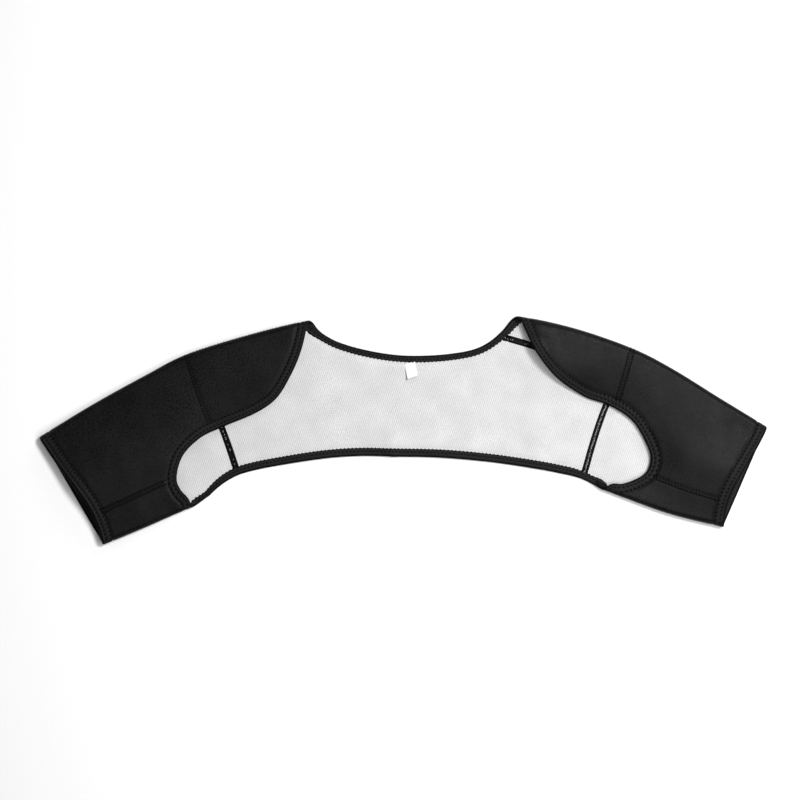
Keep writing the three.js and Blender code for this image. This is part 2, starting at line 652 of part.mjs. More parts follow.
// Panels: the knit face with its foam, and the lining under it, both cut to leave room for the bindings.
function addPanel(name, grid, isTube, rooms) {
  const face = toSolid(sheet(grid, -WALL / 2 + LINING + PLY_GAP, WALL / 2, isTube));
  const lining = toSolid(sheet(grid, -WALL / 2, -WALL / 2 + LINING, isTube));
  const cut = (solid) => largest(rooms.reduce((rest, taken) => rest.subtract(taken), solid));
  add(name, toGeometry(cut(face)), knit);
  add(`${name}_lining`, toGeometry(cut(lining)), liningKnit);
}
addPanel('back_panel', backGrid(), false, [openingRoom]);
for (const arm of ARMS) {
  addPanel(`${arm.name}_shoulder_panel`, shoulderGrid(arm), false, [openingRoom]);
  addPanel(`${arm.name}_sleeve`, sleeveGrid(arm), true, [openingRoom, cuffRoom[arm.name]]);
}

// Bindings
function addBinding(name, path, width) {
  add(name, toGeometry(toSolid(ribbon(path, bindingProfile(width), true)).simplify(FINEST)), bindingTape);
}
addBinding('opening_binding', openingPath, BINDING_WIDTH);
for (const arm of ARMS) {
  addBinding(`${arm.name}_cuff_binding`, cuffPath(arm), CUFF_BINDING_WIDTH);
}

// Seam covers on the lining
const coverTop = -WALL / 2 - CLEARANCE;
function addCover(name, path) {
  const shares = [-0.5, -0.17, 0.17, 0.5];
  const grid = path.map((place, i) => {
    const forward = wall(path[Math.min(i + 1, path.length - 1)]).sub(wall(path[Math.max(i - 1, 0)]));
    const side = faceNormal(place).cross(forward);
    return shares.map((share) => march(place, side, share * SEAM_TAPE_WIDTH));
  });
  add(name, sheet(grid, coverTop - SEAM_TAPE, coverTop, false), seamThread);
}

// How far along the seam a binding's room reaches, where the two cross at a slant.
function clearOfBinding(arm, join, heading) {
  let w = onOpening(join).w;
  const from = w;
  const path = openingPath.map((place) => wall(place));
  const toEdge = () => Math.min(...path.map((point, i) => {
    const segment = new THREE.Line3(point, path[(i + 1) % path.length]);
    const place = wall(seamPlace(arm, w < -1 ? w + 2 : w));
    return segment.closestPointToPoint(place, true, new THREE.Vector3()).distanceTo(place);
  }));
  while (toEdge() < BINDING_WIDTH + SEAM_TAPE_WIDTH / 2 && Math.abs(w - from) < 0.3) w += heading * 0.004;
  return w;
}

const shoulderSeams = ARMS.filter((arm) => arm.shoulderSeam.neck > TURN);
for (const arm of shoulderSeams) {
  // The shoulder seam's, where it lies on the back ply, between the sleeve seam's cover and the binding
  const length = wall(shoulderSeamPlace(arm, 0)).distanceTo(wall(shoulderSeamPlace(arm, 1)));
  const start = (SEAM_TAPE_WIDTH / 2 + 5 * CLEARANCE) / length;
  const end = 1 - (1.6 * BINDING_WIDTH) / length;
  addCover(`${arm.name}_shoulder_seam_cover`, range(6, (t) => shoulderSeamPlace(arm, lerp(start, end, t))));
}
for (const arm of ARMS) {
  // The sleeve seam's, from the front edge over the shoulder and down the back to the hem
  const front = clearOfBinding(arm, arm.frontJoin, 1);
  const hem = clearOfBinding(arm, arm.hemJoin, -1) + 2;
  const ways = [front, ...aroundWays.filter((w) => w > front + 0.02 && w < hem - 0.02), hem];
  addCover(`${arm.name}_sleeve_seam_cover`, ways.map((w) => seamPlace(arm, w)));
}

// The label, hanging askew from under the neck's binding on the lining. Its top follows the binding.
const lean = THREE.MathUtils.degToRad(LABEL_LEAN);
const labelTop = LABEL_WIDTH / 2 / Math.cos(lean);
const labelSkew = (LABEL_WIDTH / 2) * Math.tan(lean);
const labelCorner = (side) => [
  side * labelTop + (LABEL_LENGTH - side * labelSkew) * Math.sin(lean),
  -(LABEL_LENGTH - side * labelSkew) * Math.cos(lean),
];
const labelOutline = new THREE.Shape()
  .moveTo(-labelTop, 0)
  .lineTo(...labelCorner(-1))
  .lineTo(...labelCorner(1))
  .lineTo(labelTop, 0);
const label = new THREE.ExtrudeGeometry(labelOutline, { depth: LABEL_THICKNESS, bevelEnabled: false });
const neckEdge = wall(onOpening(0));
label.translate(LABEL_X, neckEdge.y - BINDING_WIDTH - 3 * CLEARANCE, WALL + CLEARANCE);
add('size_label', label, labelSatin);

export default brace;
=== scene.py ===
"""A double shoulder brace of neoprene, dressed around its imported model. Metres, in the model's own frame.

The cloth is one flattened tube from cuff to cuff. A place on it is (u, w): u is the section, from the left
cuff to the right one, and w the way round the section, 0 at the shoulder fold, up to 1 down the back ply and
down to -1 along the front ply, both at the underarm fold.
"""
import math

import bpy
import numpy as np
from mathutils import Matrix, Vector, kdtree


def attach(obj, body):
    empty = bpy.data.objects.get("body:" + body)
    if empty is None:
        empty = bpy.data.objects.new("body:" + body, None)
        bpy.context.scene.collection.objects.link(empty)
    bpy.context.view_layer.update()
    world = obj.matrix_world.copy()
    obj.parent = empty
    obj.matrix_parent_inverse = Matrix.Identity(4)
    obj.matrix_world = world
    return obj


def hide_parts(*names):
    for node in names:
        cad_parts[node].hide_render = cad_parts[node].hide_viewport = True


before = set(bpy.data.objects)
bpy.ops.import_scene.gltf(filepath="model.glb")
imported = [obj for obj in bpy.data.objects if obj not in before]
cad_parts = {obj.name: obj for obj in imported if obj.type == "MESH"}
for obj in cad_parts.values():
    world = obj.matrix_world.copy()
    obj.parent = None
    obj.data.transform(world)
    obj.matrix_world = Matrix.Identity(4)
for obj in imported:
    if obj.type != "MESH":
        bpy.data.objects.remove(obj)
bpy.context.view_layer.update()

MM = 0.001
HALF = np.array([410, 129]) * MM  # half the span and half the depth that the shares below are of
WALL = 3 * MM
LINING = 0.7 * MM
PLY_GAP = 0.1 * MM
FOLD_RADIUS = 5 * MM
LOFT = 16 * MM
CUFF_SET_BACK = 8.8 * MM
BINDING_WIDTH = 9.5 * MM
CUFF_BINDING_WIDTH = 11 * MM
SEAM_SKEW = 5 * MM
SEAM_GAP = 0.3 * MM
TURN = 0.07  # the share of a section's way that each fold's quarter turn takes
STITCH = 4.3 * MM

# name, shoulder fold x and y, underarm fold x and y (shares of half the span and depth), the two folds' radii
# (shares of FOLD_RADIUS), and the clear height under the front ply on the way down (shares of LOFT)
SECTIONS = [
    ("left cuff", -1, -0.053, -0.825, -1, 1.1, 1.1, 0.7, 1, 0.8),
    ("left arm", -0.85, 0.237, -0.712, -0.851, 1, 1, 0.62, 0.85, 0.65),
    ("left armpit", -0.704, 0.493, -0.597, -0.693, 1, 0.85, 0.48, 0.5, 0.36),
    ("left sleeve seam", -0.597, 0.666, -0.442, -0.513, 0.95, 0.8, 0.34, 0.22, 0.2),
    ("left chest", -0.428, 0.835, -0.312, -0.439, 0.9, 0.8, 0.28, 0.17, 0.17),
    ("left shoulder point", -0.258, 0.966, -0.194, -0.386, 0.85, 0.8, 0.26, 0.17, 0.17),
    ("left neck", -0.119, 1.026, -0.086, -0.36, 0.9, 0.8, 0.3, 0.2, 0.17),
    ("centre", 0.022, 1.044, 0.022, -0.355, 1, 0.8, 0.4, 0.3, 0.2),
    ("right neck", 0.162, 1.035, 0.151, -0.364, 1.15, 0.8, 0.6, 0.4, 0.25),
    ("right shoulder point", 0.313, 1.002, 0.289, -0.39, 1.25, 0.8, 0.82, 0.55, 0.3),
    ("right chest", 0.471, 0.895, 0.422, -0.43, 1.1, 0.8, 0.62, 0.36, 0.22),
    ("right sleeve seam", 0.631, 0.719, 0.491, -0.456, 1, 0.8, 0.42, 0.24, 0.2),
    ("right armpit", 0.742, 0.539, 0.592, -0.57, 1, 0.85, 0.5, 0.5, 0.36),
    ("right arm", 0.869, 0.289, 0.731, -0.728, 1, 1, 0.62, 0.85, 0.65),
    ("right cuff", 1, 0.035, 0.88, -0.846, 1.1, 1.1, 0.7, 1, 0.8),
]
STATION = {row[0]: index for index, row in enumerate(SECTIONS)}

# The opening's edge from above, all the way round from the middle of the neck: x and y (shares), and the ply,
# 1 on the back, -1 on the front and 0 where the edge turns over a fold
OPENING = [
    (0.022, 0.652, 1), (-0.064, 0.678, 1), (-0.147, 0.738, 1), (-0.198, 0.8, 1), (-0.236, 0.886, 1),
    (-0.258, 0.966, 0),
    (-0.27, 0.84, -1), (-0.283, 0.683, -1), (-0.307, 0.501, -1), (-0.35, 0.281, -1), (-0.408, 0.154, -1),
    (-0.497, 0.035, -1), (-0.558, -0.061, -1), (-0.607, -0.224, -1), (-0.623, -0.425, -1),
    (-0.612, -0.518, -1), (-0.592, -0.59, -1),
    (-0.574, -0.655, 0),
    (-0.523, -0.532, 1), (-0.47, -0.41, 1), (-0.4, -0.338, 1), (-0.258, -0.259, 1), (-0.12, -0.221, 1),
    (-0.027, -0.226, 1), (0.1, -0.235, 1), (0.212, -0.264, 1), (0.316, -0.307, 1), (0.423, -0.366, 1),
    (0.507, -0.441, 1),
    (0.543, -0.486, 0),
    (0.571, -0.469, -1), (0.603, -0.466, -1), (0.634, -0.434, -1), (0.666, -0.373, -1), (0.679, -0.298, -1),
    (0.679, -0.197, -1), (0.639, 0.054, -1), (0.566, 0.222, -1), (0.5, 0.297, -1), (0.423, 0.46, -1),
    (0.365, 0.682, -1), (0.338, 0.856, -1),
    (0.313, 1.002, 0),
    (0.269, 0.856, 1), (0.212, 0.729, 1), (0.13, 0.67, 1),
]
FOLD_ROWS = [index for index, row in enumerate(OPENING) if row[2] == 0]
LEFT_POINT, LEFT_PIT, RIGHT_PIT, RIGHT_POINT = FOLD_ROWS


# The surface

def slopes_of(values):
    """The slope at each of a row of equally spaced values, for the smooth curve through them."""
    return np.concatenate([values[1:2] - values[:1], (values[2:] - values[:-2]) / 2, values[-1:] - values[-2:-1]])


def hermite(from_value, to_value, from_slope, to_slope, t):
    square, cube = t * t, t * t * t
    return (from_value * (2 * cube - 3 * square + 1) + from_slope * (cube - 2 * square + t)
            + to_value * (3 * square - 2 * cube) + to_slope * (cube - square))


TABLE = np.array([row[1:] for row in SECTIONS], float)
TABLE_SLOPES = slopes_of(TABLE)


def section_at(u):
    """Where the folds of the section at u are, their radii, and the heights of its front ply."""
    i = np.clip(np.floor(u).astype(int), 0, len(TABLE) - 2)
    row = hermite(TABLE[i], TABLE[i + 1], TABLE_SLOPES[i], TABLE_SLOPES[i + 1], (u - i)[..., None])
    top, low = row[..., 0:2] * HALF, row[..., 2:4] * HALF
    top_radius, low_radius = row[..., 4] * FOLD_RADIUS, row[..., 5] * FOLD_RADIUS
    heights = 1.5 * WALL + row[..., 6:9] * LOFT
    return top, low, top_radius, low_radius, heights


def unwrapped(u, w):
    """The parts that the place of the wall's middle, rolled or unrolled, is worked out from."""
    u, w = np.broadcast_arrays(np.asarray(u, float), np.asarray(w, float))
    w = np.where(w < -1, w + 2, np.where(w > 1, w - 2, w))
    top, low, top_radius, low_radius, heights = section_at(u)
    width = np.linalg.norm(low - top, axis=-1)
    flat = width - WALL - top_radius - low_radius
    way = np.abs(w)
    turn = np.pi / 2 * np.clip(np.minimum(way, 1 - way) / TURN, 0, 1)
    share = np.clip((way - TURN) / (1 - 2 * TURN), 0, 1)
    return w, top, low, top_radius, low_radius, heights, width, flat, way, turn, share


# Long soft waves of the cloth as it lies: waves to the metre along x and along y, phase, and height
WAVES = [(7, 3, 0.4, 0.5), (12, -6, 2.1, 0.35), (19, 9, 4.4, 0.22), (5, 14, 1.0, 0.3)]

# Single creases and dents: x, y, ply, how far they reach along x and y, and how high the cloth stands there
CREASES = [
    (-12, -22, 1, 9, 40, 1.1),
    (-95, 45, 1, 14, 60, 0.9),
    (70, 30, 1, 20, 55, 0.8),
    (150, -10, 1, 14, 50, 0.8),
    (381, 7, -1, 14, 20, -1.6),
    (352, 20, -1, 18, 30, 0.9),
    (-330, -20, -1, 30, 40, -0.8),
    (200, 42, -1, 34, 26, -4.2),
    (150, 92, -1, 18, 26, 4.5),
    (276, -14, -1, 46, 46, -4.5),
]


def lift(x, y, w):
    """How much higher the cloth lies than its smooth form."""
    waves = sum(height * (0.5 + 0.5 * np.sin(2 * np.pi * (across * x + up * y) + phase))
                for across, up, phase, height in WAVES)
    for at_x, at_y, ply, reach_x, reach_y, height in CREASES:
        away = ((x / MM - at_x) / reach_x) ** 2 + ((y / MM - at_y) / reach_y) ** 2
        waves = waves + height * np.exp(-away) * (w * ply > 0)
    return waves * MM


def middle(u, w):
    """A point of the middle of the wall."""
    w, top, low, top_radius, low_radius, heights, width, flat, way, turn, share = unwrapped(u, w)
    in_top, in_low = way < TURN, way > 1 - TURN
    across = np.where(in_top, top_radius * (1 - np.cos(turn)), top_radius + flat * share)
    across = np.where(in_low, top_radius + flat + low_radius * np.cos(turn), across)
    plan = top + (low - top) * ((WALL / 2 + across) / width)[..., None]
    radius = np.where(in_low, low_radius, top_radius)
    in_fold = in_top | in_low
    rise = np.sin(turn)
    rests = WALL / 2
    knots = np.concatenate([(rests + 2 * top_radius)[..., None], heights, (rests + 2 * low_radius)[..., None]], -1)
    rises = (knots[..., 2:] - knots[..., :-2]) / 2
    level = np.zeros_like(knots[..., :1])
    knot_slopes = np.concatenate([level, rises, level], -1)
    i = np.clip(np.floor(4 * share).astype(int), 0, 3)[..., None]
    pick = np.take_along_axis
    front = hermite(pick(knots, i, -1), pick(knots, i + 1, -1), pick(knot_slopes, i, -1),
                    pick(knot_slopes, i + 1, -1), 4 * share[..., None] - i)[..., 0]
    back_height = np.where(in_fold, rests + radius * (1 - rise), rests)
    front_height = np.where(in_fold, rests + radius * (1 + rise), front)
    height = np.where(w >= 0, back_height, front_height)
    settled = np.minimum(1, np.minimum(way, 1 - way) / (2 * TURN))
    return np.concatenate([plan, (height + lift(plan[..., 0], plan[..., 1], w) * settled)[..., None]], -1)


def unrolled(u, w):
    """The place in plan when the cloth is opened flat about the shoulder fold, for its weave."""
    w, top, low, top_radius, low_radius, _, width, flat, way, turn, share = unwrapped(u, w)
    quarter = np.pi / 2
    across = np.where(way < TURN, top_radius * turn, top_radius * quarter + flat * share)
    across = np.where(way > 1 - TURN, top_radius * quarter + flat + low_radius * (quarter - turn), across)
    return top + (low - top) * (np.where(w < 0, -1, 1) * across / width)[..., None]


STEP_U, STEP_W = 1e-3, 1e-4


def slopes(u, w):
    """How the wall's middle moves with u and with w."""
    along_u = (middle(u + STEP_U, w) - middle(u - STEP_U, w)) / (2 * STEP_U)
    along_w = (middle(u, w + STEP_W) - middle(u, w - STEP_W)) / (2 * STEP_W)
    return along_u, along_w


def unit(vectors):
    return vectors / np.linalg.norm(vectors, axis=-1, keepdims=True)


def face_normal(u, w):
    """The way out of the wall on its knit face."""
    return unit(np.cross(*slopes(u, w)))


def cloth(u, w, offset=0.0):
    """A point of the wall, offset towards the knit face."""
    return middle(u, w) + face_normal(u, w) * np.asarray(offset)[..., None]


def dot(a, b):
    return np.sum(a * b, axis=-1)


MARCH = 1 * MM


def march(u, w, heading, distance):
    """The places reached by going a distance over the cloth in a direction, and the direction there."""
    steps = max(1, math.ceil(abs(distance) / MARCH))
    step = abs(distance) / steps
    heading = unit(heading) * (-1 if distance < 0 else 1)
    for _ in range(steps if distance else 0):
        along_u, along_w = slopes(u, w)
        uu, uw, ww = dot(along_u, along_u), dot(along_u, along_w), dot(along_w, along_w)
        hu, hw = dot(heading, along_u), dot(heading, along_w)
        spread = uu * ww - uw * uw
        du, dw = (hu * ww - hw * uw) / spread, (hw * uu - hu * uw) / spread
        on_cloth = along_u * du[..., None] + along_w * dw[..., None]
        length = np.linalg.norm(on_cloth, axis=-1)
        scale = step / length
        moved = np.linalg.norm(middle(u + du * scale, w + dw * scale) - middle(u, w), axis=-1)
        scale = scale * step / moved
        heading = on_cloth / length[..., None]
        u, w = u + du * scale, w + dw * scale
    return u, w, heading * (-1 if distance < 0 else 1)


# The opening's edge

LOOK = np.linspace(0, len(SECTIONS) - 1, 28001)


def locate(x, y, ply):
    """The place on a ply that is seen at a point from above."""
    point = np.array([x, y]) * HALF
    top, low, *_ = section_at(LOOK)
    across = low - top
    beside = (point[0] - top[:, 0]) * across[:, 1] - (point[1] - top[:, 1]) * across[:, 0]
    i = np.nonzero(np.sign(beside[:-1]) != np.sign(beside[1:]))[0][0]
    u = LOOK[i] + (LOOK[i + 1] - LOOK[i]) * beside[i] / (beside[i] - beside[i + 1])
    top, low, top_radius, low_radius, _ = section_at(np.array(u))
    width = np.linalg.norm(low - top)
    flat = width - WALL - top_radius - low_radius
    in_from_top = np.linalg.norm(point - top) - WALL / 2
    in_from_low = width - WALL - in_from_top
    if ply == 0:
        return u, (0.0 if in_from_top < flat / 2 else -1.0)
    way = TURN + (1 - 2 * TURN) * (in_from_top - top_radius) / flat
    if in_from_top < top_radius:
        way = TURN * math.acos(min(1, 1 - in_from_top / top_radius)) / (math.pi / 2)
    if in_from_low < low_radius:
        way = 1 - TURN * math.acos(min(1, 1 - in_from_low / low_radius)) / (math.pi / 2)
    return u, ply * way


W_SCALE = 3


def edge_controls():
    controls = []
    for index, row in enumerate(OPENING):
        u, w = locate(*row)
        is_hem = LEFT_PIT < index < RIGHT_PIT
        controls.append((u, (w - 2 if is_hem else w) * W_SCALE))
    return np.array(controls)


CONTROLS = edge_controls()


def on_opening(t):
    """The places on the opening's edge at shares of the way round it: a closed centripetal spline."""
    count = len(CONTROLS)
    place = (np.asarray(t, float) % 1.0) * count
    i = np.floor(place).astype(int) % count
    t = (place - np.floor(place))[..., None]
    a, b, c, d = (CONTROLS[(i + k) % count] for k in (-1, 0, 1, 2))
    ab, bc, cd = (np.sqrt(np.linalg.norm(q - p, axis=-1))[..., None] for p, q in ((a, b), (b, c), (c, d)))
    slope_b = ((b - a) / ab - (c - a) / (ab + bc) + (c - b) / bc) * bc
    slope_c = ((c - b) / bc - (d - b) / (bc + cd) + (d - c) / cd) * bc
    point = hermite(b, c, slope_b, slope_c, t)
    return point[..., 0], point[..., 1] / W_SCALE


def row_share(row):
    return row / len(OPENING)


def meet(past, from_row, to_row):
    """The share at which the opening's edge first meets a line between two rows of its table."""
    t = np.linspace(row_share(from_row), row_share(to_row), 8001)
    side = past(*on_opening(t))
    i = np.nonzero(np.sign(side[:-1]) != np.sign(side[1:]))[0][0]
    return t[i] + (t[i + 1] - t[i]) * side[i] / (side[i] - side[i + 1])


def edge_u(wanted, from_share, to_share):
    """Where the opening's edge is at each way round, between two of its own shares."""
    u, w = on_opening(np.linspace(from_share, to_share, 4001))
    order = np.argsort(w)
    return np.interp(wanted, w[order], u[order])


def round_w(w):
    return np.where(w < -1, w + 2, w)


class Arm:
    """One side: its cuff, its sleeve seam and its shoulder seam, and where they meet the opening's edge."""

    def __init__(self, name, inward, point_row, pit_row, neck_row, seam_ways, underarm):
        self.name = name
        self.inward = inward  # the way from the cuff to the neck along the sections
        self.cuff = STATION[f"{name} cuff"]
        self.seam = STATION[f"{name} sleeve seam"]
        self.seam_ways = seam_ways  # how far down the back ply the shoulder seam lies: at the arm, at the neck
        self.underarm = underarm  # how far round the lengthwise sleeve seam lies
        hem_middle = round((LEFT_PIT + RIGHT_PIT) / 2)

        def past_seam(u, w):
            return (u - self.seam_u(w)) * inward

        self.front_join = meet(past_seam, pit_row, point_row)
        self.hem_join = meet(past_seam, pit_row, hem_middle)
        self.neck_join = meet(lambda u, w: w - seam_ways[1], point_row, neck_row)
        self.pit = row_share(pit_row)
        self.front_w = float(on_opening(self.front_join)[1])
        self.hem_w = float(on_opening(self.hem_join)[1]) + 2
        self.neck_u = float(on_opening(self.neck_join)[0])

    def seam_u(self, w):
        """The sleeve seam leans out over the front ply and in over the back ply."""
        w = round_w(np.asarray(w, float))
        bulge = np.sin(np.pi * np.clip((np.abs(w) - TURN) / (1 - 2 * TURN), 0, 1))
        lean = np.sign(w) * self.inward * SEAM_SKEW * bulge
        return self.seam + lean / np.linalg.norm(slopes(float(self.seam), w)[0], axis=-1)

    def towards_neck(self, u, w, distance):
        return u + self.inward * distance / np.linalg.norm(slopes(u, w)[0], axis=-1)

    def cuff_u(self, w):
        """The cuff is straight on the back ply and set back in a curve on the front ply."""
        w = round_w(np.asarray(w, float))
        share = np.clip(-w, 0, 1)
        curve = np.sin(np.pi * share ** 1.65) ** 1.2
        return self.towards_neck(float(self.cuff) + 0 * w, w, CUFF_SET_BACK * curve)

    def end_u(self, w):
        """The sleeve's end towards the neck: the sleeve seam, or the opening's edge."""
        seam = self.towards_neck(self.seam_u(w), w, -SEAM_GAP / 2)
        front = edge_u(w, self.front_join, self.pit)
        hem = edge_u(w - 2, self.hem_join, self.pit)
        return np.where(w < self.front_w, front, np.where(w > self.hem_w, hem, seam))

    def shoulder_seam(self, share):
        """The shoulder seam, from the sleeve seam at 0 to the neck at 1."""
        w = self.seam_ways[0] + (self.seam_ways[1] - self.seam_ways[0]) * share
        return self.seam_u(w) + (self.neck_u - self.seam_u(w)) * share, w


LEFT = Arm("left", 1, LEFT_POINT, LEFT_PIT, 0, (0.012, 0.012), -0.74)
RIGHT = Arm("right", -1, RIGHT_POINT, RIGHT_PIT, len(OPENING), (0.27, 0.157), -0.75)
ARMS = (LEFT, RIGHT)


# Paths over the cloth, in even steps

LATTICE = 0.5 * MM
STEPS_A_STITCH = 4
TAPE_STEP = STITCH / STEPS_A_STITCH


class Path:
    """A run of places in even steps, and the places beside it at every distance within its reach.

    turn is how much w changes in going once round, for a path that is a loop, and None for one that isn't.
    """

    def __init__(self, u, w, step, reach, turn=None):
        points = middle(u, w)
        run = np.concatenate([[0], np.cumsum(np.linalg.norm(np.diff(points, axis=0), axis=-1))])
        self.length = run[-1]
        self.is_loop = turn is not None
        count = max(2, round(self.length / step))
        if self.is_loop:
            count = STEPS_A_STITCH * round(count / STEPS_A_STITCH)
        self.step = self.length / count
        self.at = np.arange(count + (0 if self.is_loop else 1)) * self.step
        self.u, self.w = np.interp(self.at, run, u), np.interp(self.at, run, w)
        self.turn = turn or 0
        points = middle(self.u, self.w)
        along = np.roll(points, -1, 0) - np.roll(points, 1, 0) if self.is_loop else np.gradient(points, axis=0)
        side = unit(np.cross(unit(along), face_normal(self.u, self.w)))
        self.low = math.floor(reach[0] / LATTICE)
        rows = {0: (self.u, self.w)}
        for sign, end in ((-1, self.low), (1, math.ceil(reach[1] / LATTICE))):
            u, w, heading = self.u, self.w, side
            for k in range(sign, end + sign, sign):
                u, w, heading = march(u, w, heading, sign * LATTICE)
                rows[k] = (u, w)
        self.lattice = np.array([rows[k] for k in sorted(rows)])  # distance, u or w, place

    def place(self, at, distance):
        """The (u, w) at places along the path and distances to its side."""
        at, distance = np.broadcast_arrays(np.asarray(at, float), np.asarray(distance, float))
        j = np.clip(distance / LATTICE - self.low, 0, len(self.lattice) - 1.001)
        j, to_j = np.floor(j).astype(int), j % 1
        i = at / self.step if self.is_loop else np.clip(at / self.step, 0, len(self.at) - 1.001)
        i, to_i = np.floor(i).astype(int), i % 1
        found = []
        for k in (0, 1):
            rounds, column = np.divmod(i + k, len(self.at)) if self.is_loop else (0 * i, i + k)
            near, far = self.lattice[j, :, column], self.lattice[j + 1, :, column]
            place = near + (far - near) * to_j[..., None]
            found.append(place + np.stack([0 * rounds, rounds * self.turn], -1))
        place = found[0] + (found[1] - found[0]) * to_i[..., None]
        return place[..., 0], place[..., 1]


PLY_APART = 60 * MM


class Line:
    """A line on the cloth that other places can find their distance from. A fourth axis keeps the plies apart."""

    def __init__(self, u, w, at=None):
        self.points = middle(u, w)
        self.at = at
        self.tree = kdtree.KDTree(len(self.points))
        for i, (point, apart) in enumerate(zip(self.points, self.ply_axis(w))):
            self.tree.insert((point[0], point[1], apart), i)
        self.tree.balance()

    @staticmethod
    def ply_axis(w):
        return PLY_APART * np.sin(np.pi * round_w(w))

    def nearest(self, u, w):
        points = middle(u, w)
        found = [self.tree.find((p[0], p[1], a))[1]
                 for p, a in zip(points.reshape(-1, 3), self.ply_axis(w).reshape(-1))]
        found = np.array(found).reshape(points.shape[:-1])
        return np.linalg.norm(points - self.points[found], axis=-1), found


BINDING_REACH = (-0.5 * MM, 13.5 * MM)
OPENING_PATH = Path(*on_opening(np.linspace(0, 1, 6001)), TAPE_STEP, BINDING_REACH, turn=0)
OPENING_LINE = Line(OPENING_PATH.u, OPENING_PATH.w, OPENING_PATH.at)


def clear_of_edge(u, w, least):
    """The part of a run of places that stays clear of the opening's edge."""
    away, _ = OPENING_LINE.nearest(u, w)
    keep = np.nonzero(away > least)[0]
    return u[keep[0]:keep[-1] + 1], w[keep[0]:keep[-1] + 1]


def sleeve_seam(arm, least):
    w = np.linspace(arm.front_w, arm.hem_w, 900)
    return clear_of_edge(arm.seam_u(w), w, least)


def underarm_seam(arm):
    """The lengthwise seam of the sleeve, from the cuff's binding to the opening's."""
    way = np.array(arm.underarm)
    start, end = float(arm.cuff_u(way)), float(edge_u(way, arm.front_join, arm.pit))
    u, w = np.linspace(start, end, 500), np.full(500, arm.underarm)
    from_cuff = np.linalg.norm(middle(u, w) - middle(u[:1], w[:1]), axis=-1)
    keep = from_cuff > CUFF_BINDING_WIDTH - 1 * MM
    return clear_of_edge(u[keep], w[keep], BINDING_WIDTH - 1 * MM)


def shoulder_seam(arm, least):
    u, w = arm.shoulder_seam(np.linspace(0.02, 1, 500))
    return clear_of_edge(u, np.broadcast_to(w, u.shape).copy(), least)


ON_FACE = BINDING_WIDTH - 1 * MM
SEAM_LINES = []
for arm in ARMS:
    for run in (sleeve_seam(arm, ON_FACE), underarm_seam(arm), shoulder_seam(arm, ON_FACE)):
        SEAM_LINES.append(run)
SEAM_LINE = Line(*(np.concatenate(columns) for columns in zip(*SEAM_LINES)))


# The thickness of the wall

PINCHED = 0.66 * MM  # half the foam's thickness inside a binding
SEAM_DEPTH = 0.4 * MM  # of the groove along a seam, on the knit face
SEAM_REACH = 2.6 * MM


def ease(t):
    t = np.clip(t, 0, 1)
    return t * t * (3 - 2 * t)


def groove(away):
    return SEAM_DEPTH * np.exp(-(away / SEAM_REACH) ** 2)


def half_wall(u, w, from_cuff=None):
    """Half the wall's thickness: full in the open, pinched in the bindings, puckered beside their stitches."""
    away, nearest = OPENING_LINE.nearest(u, w)
    share = ease((away - (BINDING_WIDTH - 0.3 * MM)) / (4.6 * MM))
    beside = np.exp(-((away - BINDING_WIDTH - 1.8 * MM) / (1.8 * MM)) ** 2)
    pucker = 0.13 * beside * np.cos(2 * np.pi * OPENING_LINE.at[nearest] / STITCH)
    if from_cuff is not None:
        share = np.minimum(share, ease((from_cuff - (CUFF_BINDING_WIDTH - 0.3 * MM)) / (4.6 * MM)))
    return PINCHED + (WALL / 2 - PINCHED) * share * (1 - pucker)


# Meshes

def piece(name, vertices, faces, material, uv=None):
    """A new object from arrays. uv has one place per face corner."""
    mesh = bpy.data.meshes.new(name)
    mesh.from_pydata(vertices.tolist(), [], faces.tolist() if hasattr(faces, "tolist") else faces)
    mesh.materials.append(material)
    if uv is not None:
        layer = mesh.uv_layers.new(name="Weave")
        layer.data.foreach_set("uv", np.asarray(uv, np.float32).ravel())
    mesh.polygons.foreach_set("use_smooth", [True] * len(mesh.polygons))
    mesh.update()
    made = bpy.data.objects.new(name, mesh)
    bpy.context.scene.collection.objects.link(made)
    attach(made, "root")
    return made


def grid_faces(rows, columns, start, flip=False, wrap=False):
    """The faces of a grid of points that are numbered from start, row by row."""
    i, j = np.meshgrid(np.arange(rows - 1), np.arange(columns if wrap else columns - 1), indexing="ij")
    corners = [(i, j), (i + 1, j), (i + 1, (j + 1) % columns), (i, (j + 1) % columns)]
    faces = np.stack([start + a * columns + b for a, b in corners], -1).reshape(-1, 4)
    return faces[:, ::-1] if flip else faces


def slab(name, face, under, weave, material, wrap=False):
    """A closed piece between two grids of points. weave holds the unrolled places, one column more if wrapped."""
    rows, columns = face.shape[:2]
    count = rows * columns
    index = np.arange(count).reshape(rows, columns)

    def rim(here, after):
        return np.stack([here, after, after + count, here + count], -1)

    def ends(line):
        return (line, np.roll(line, -1)) if wrap else (line[:-1], line[1:])

    faces = [grid_faces(rows, columns, 0, wrap=wrap), grid_faces(rows, columns, count, flip=True, wrap=wrap),
             rim(*ends(index[0])), rim(*ends(index[-1])[::-1])]
    if not wrap:
        faces += [rim(index[1:, 0], index[:-1, 0]), rim(index[:-1, -1], index[1:, -1])]
    faces = np.concatenate(faces)
    vertices = np.concatenate([face.reshape(-1, 3), under.reshape(-1, 3)])
    row, column = (faces % count) // columns, (faces % count) % columns
    if wrap:
        crossing = (column.max(-1, keepdims=True) == columns - 1) & (column.min(-1, keepdims=True) == 0)
        column = np.where(crossing & (column == 0), columns, column)
    return piece(name, vertices, faces, material, weave[row, column])


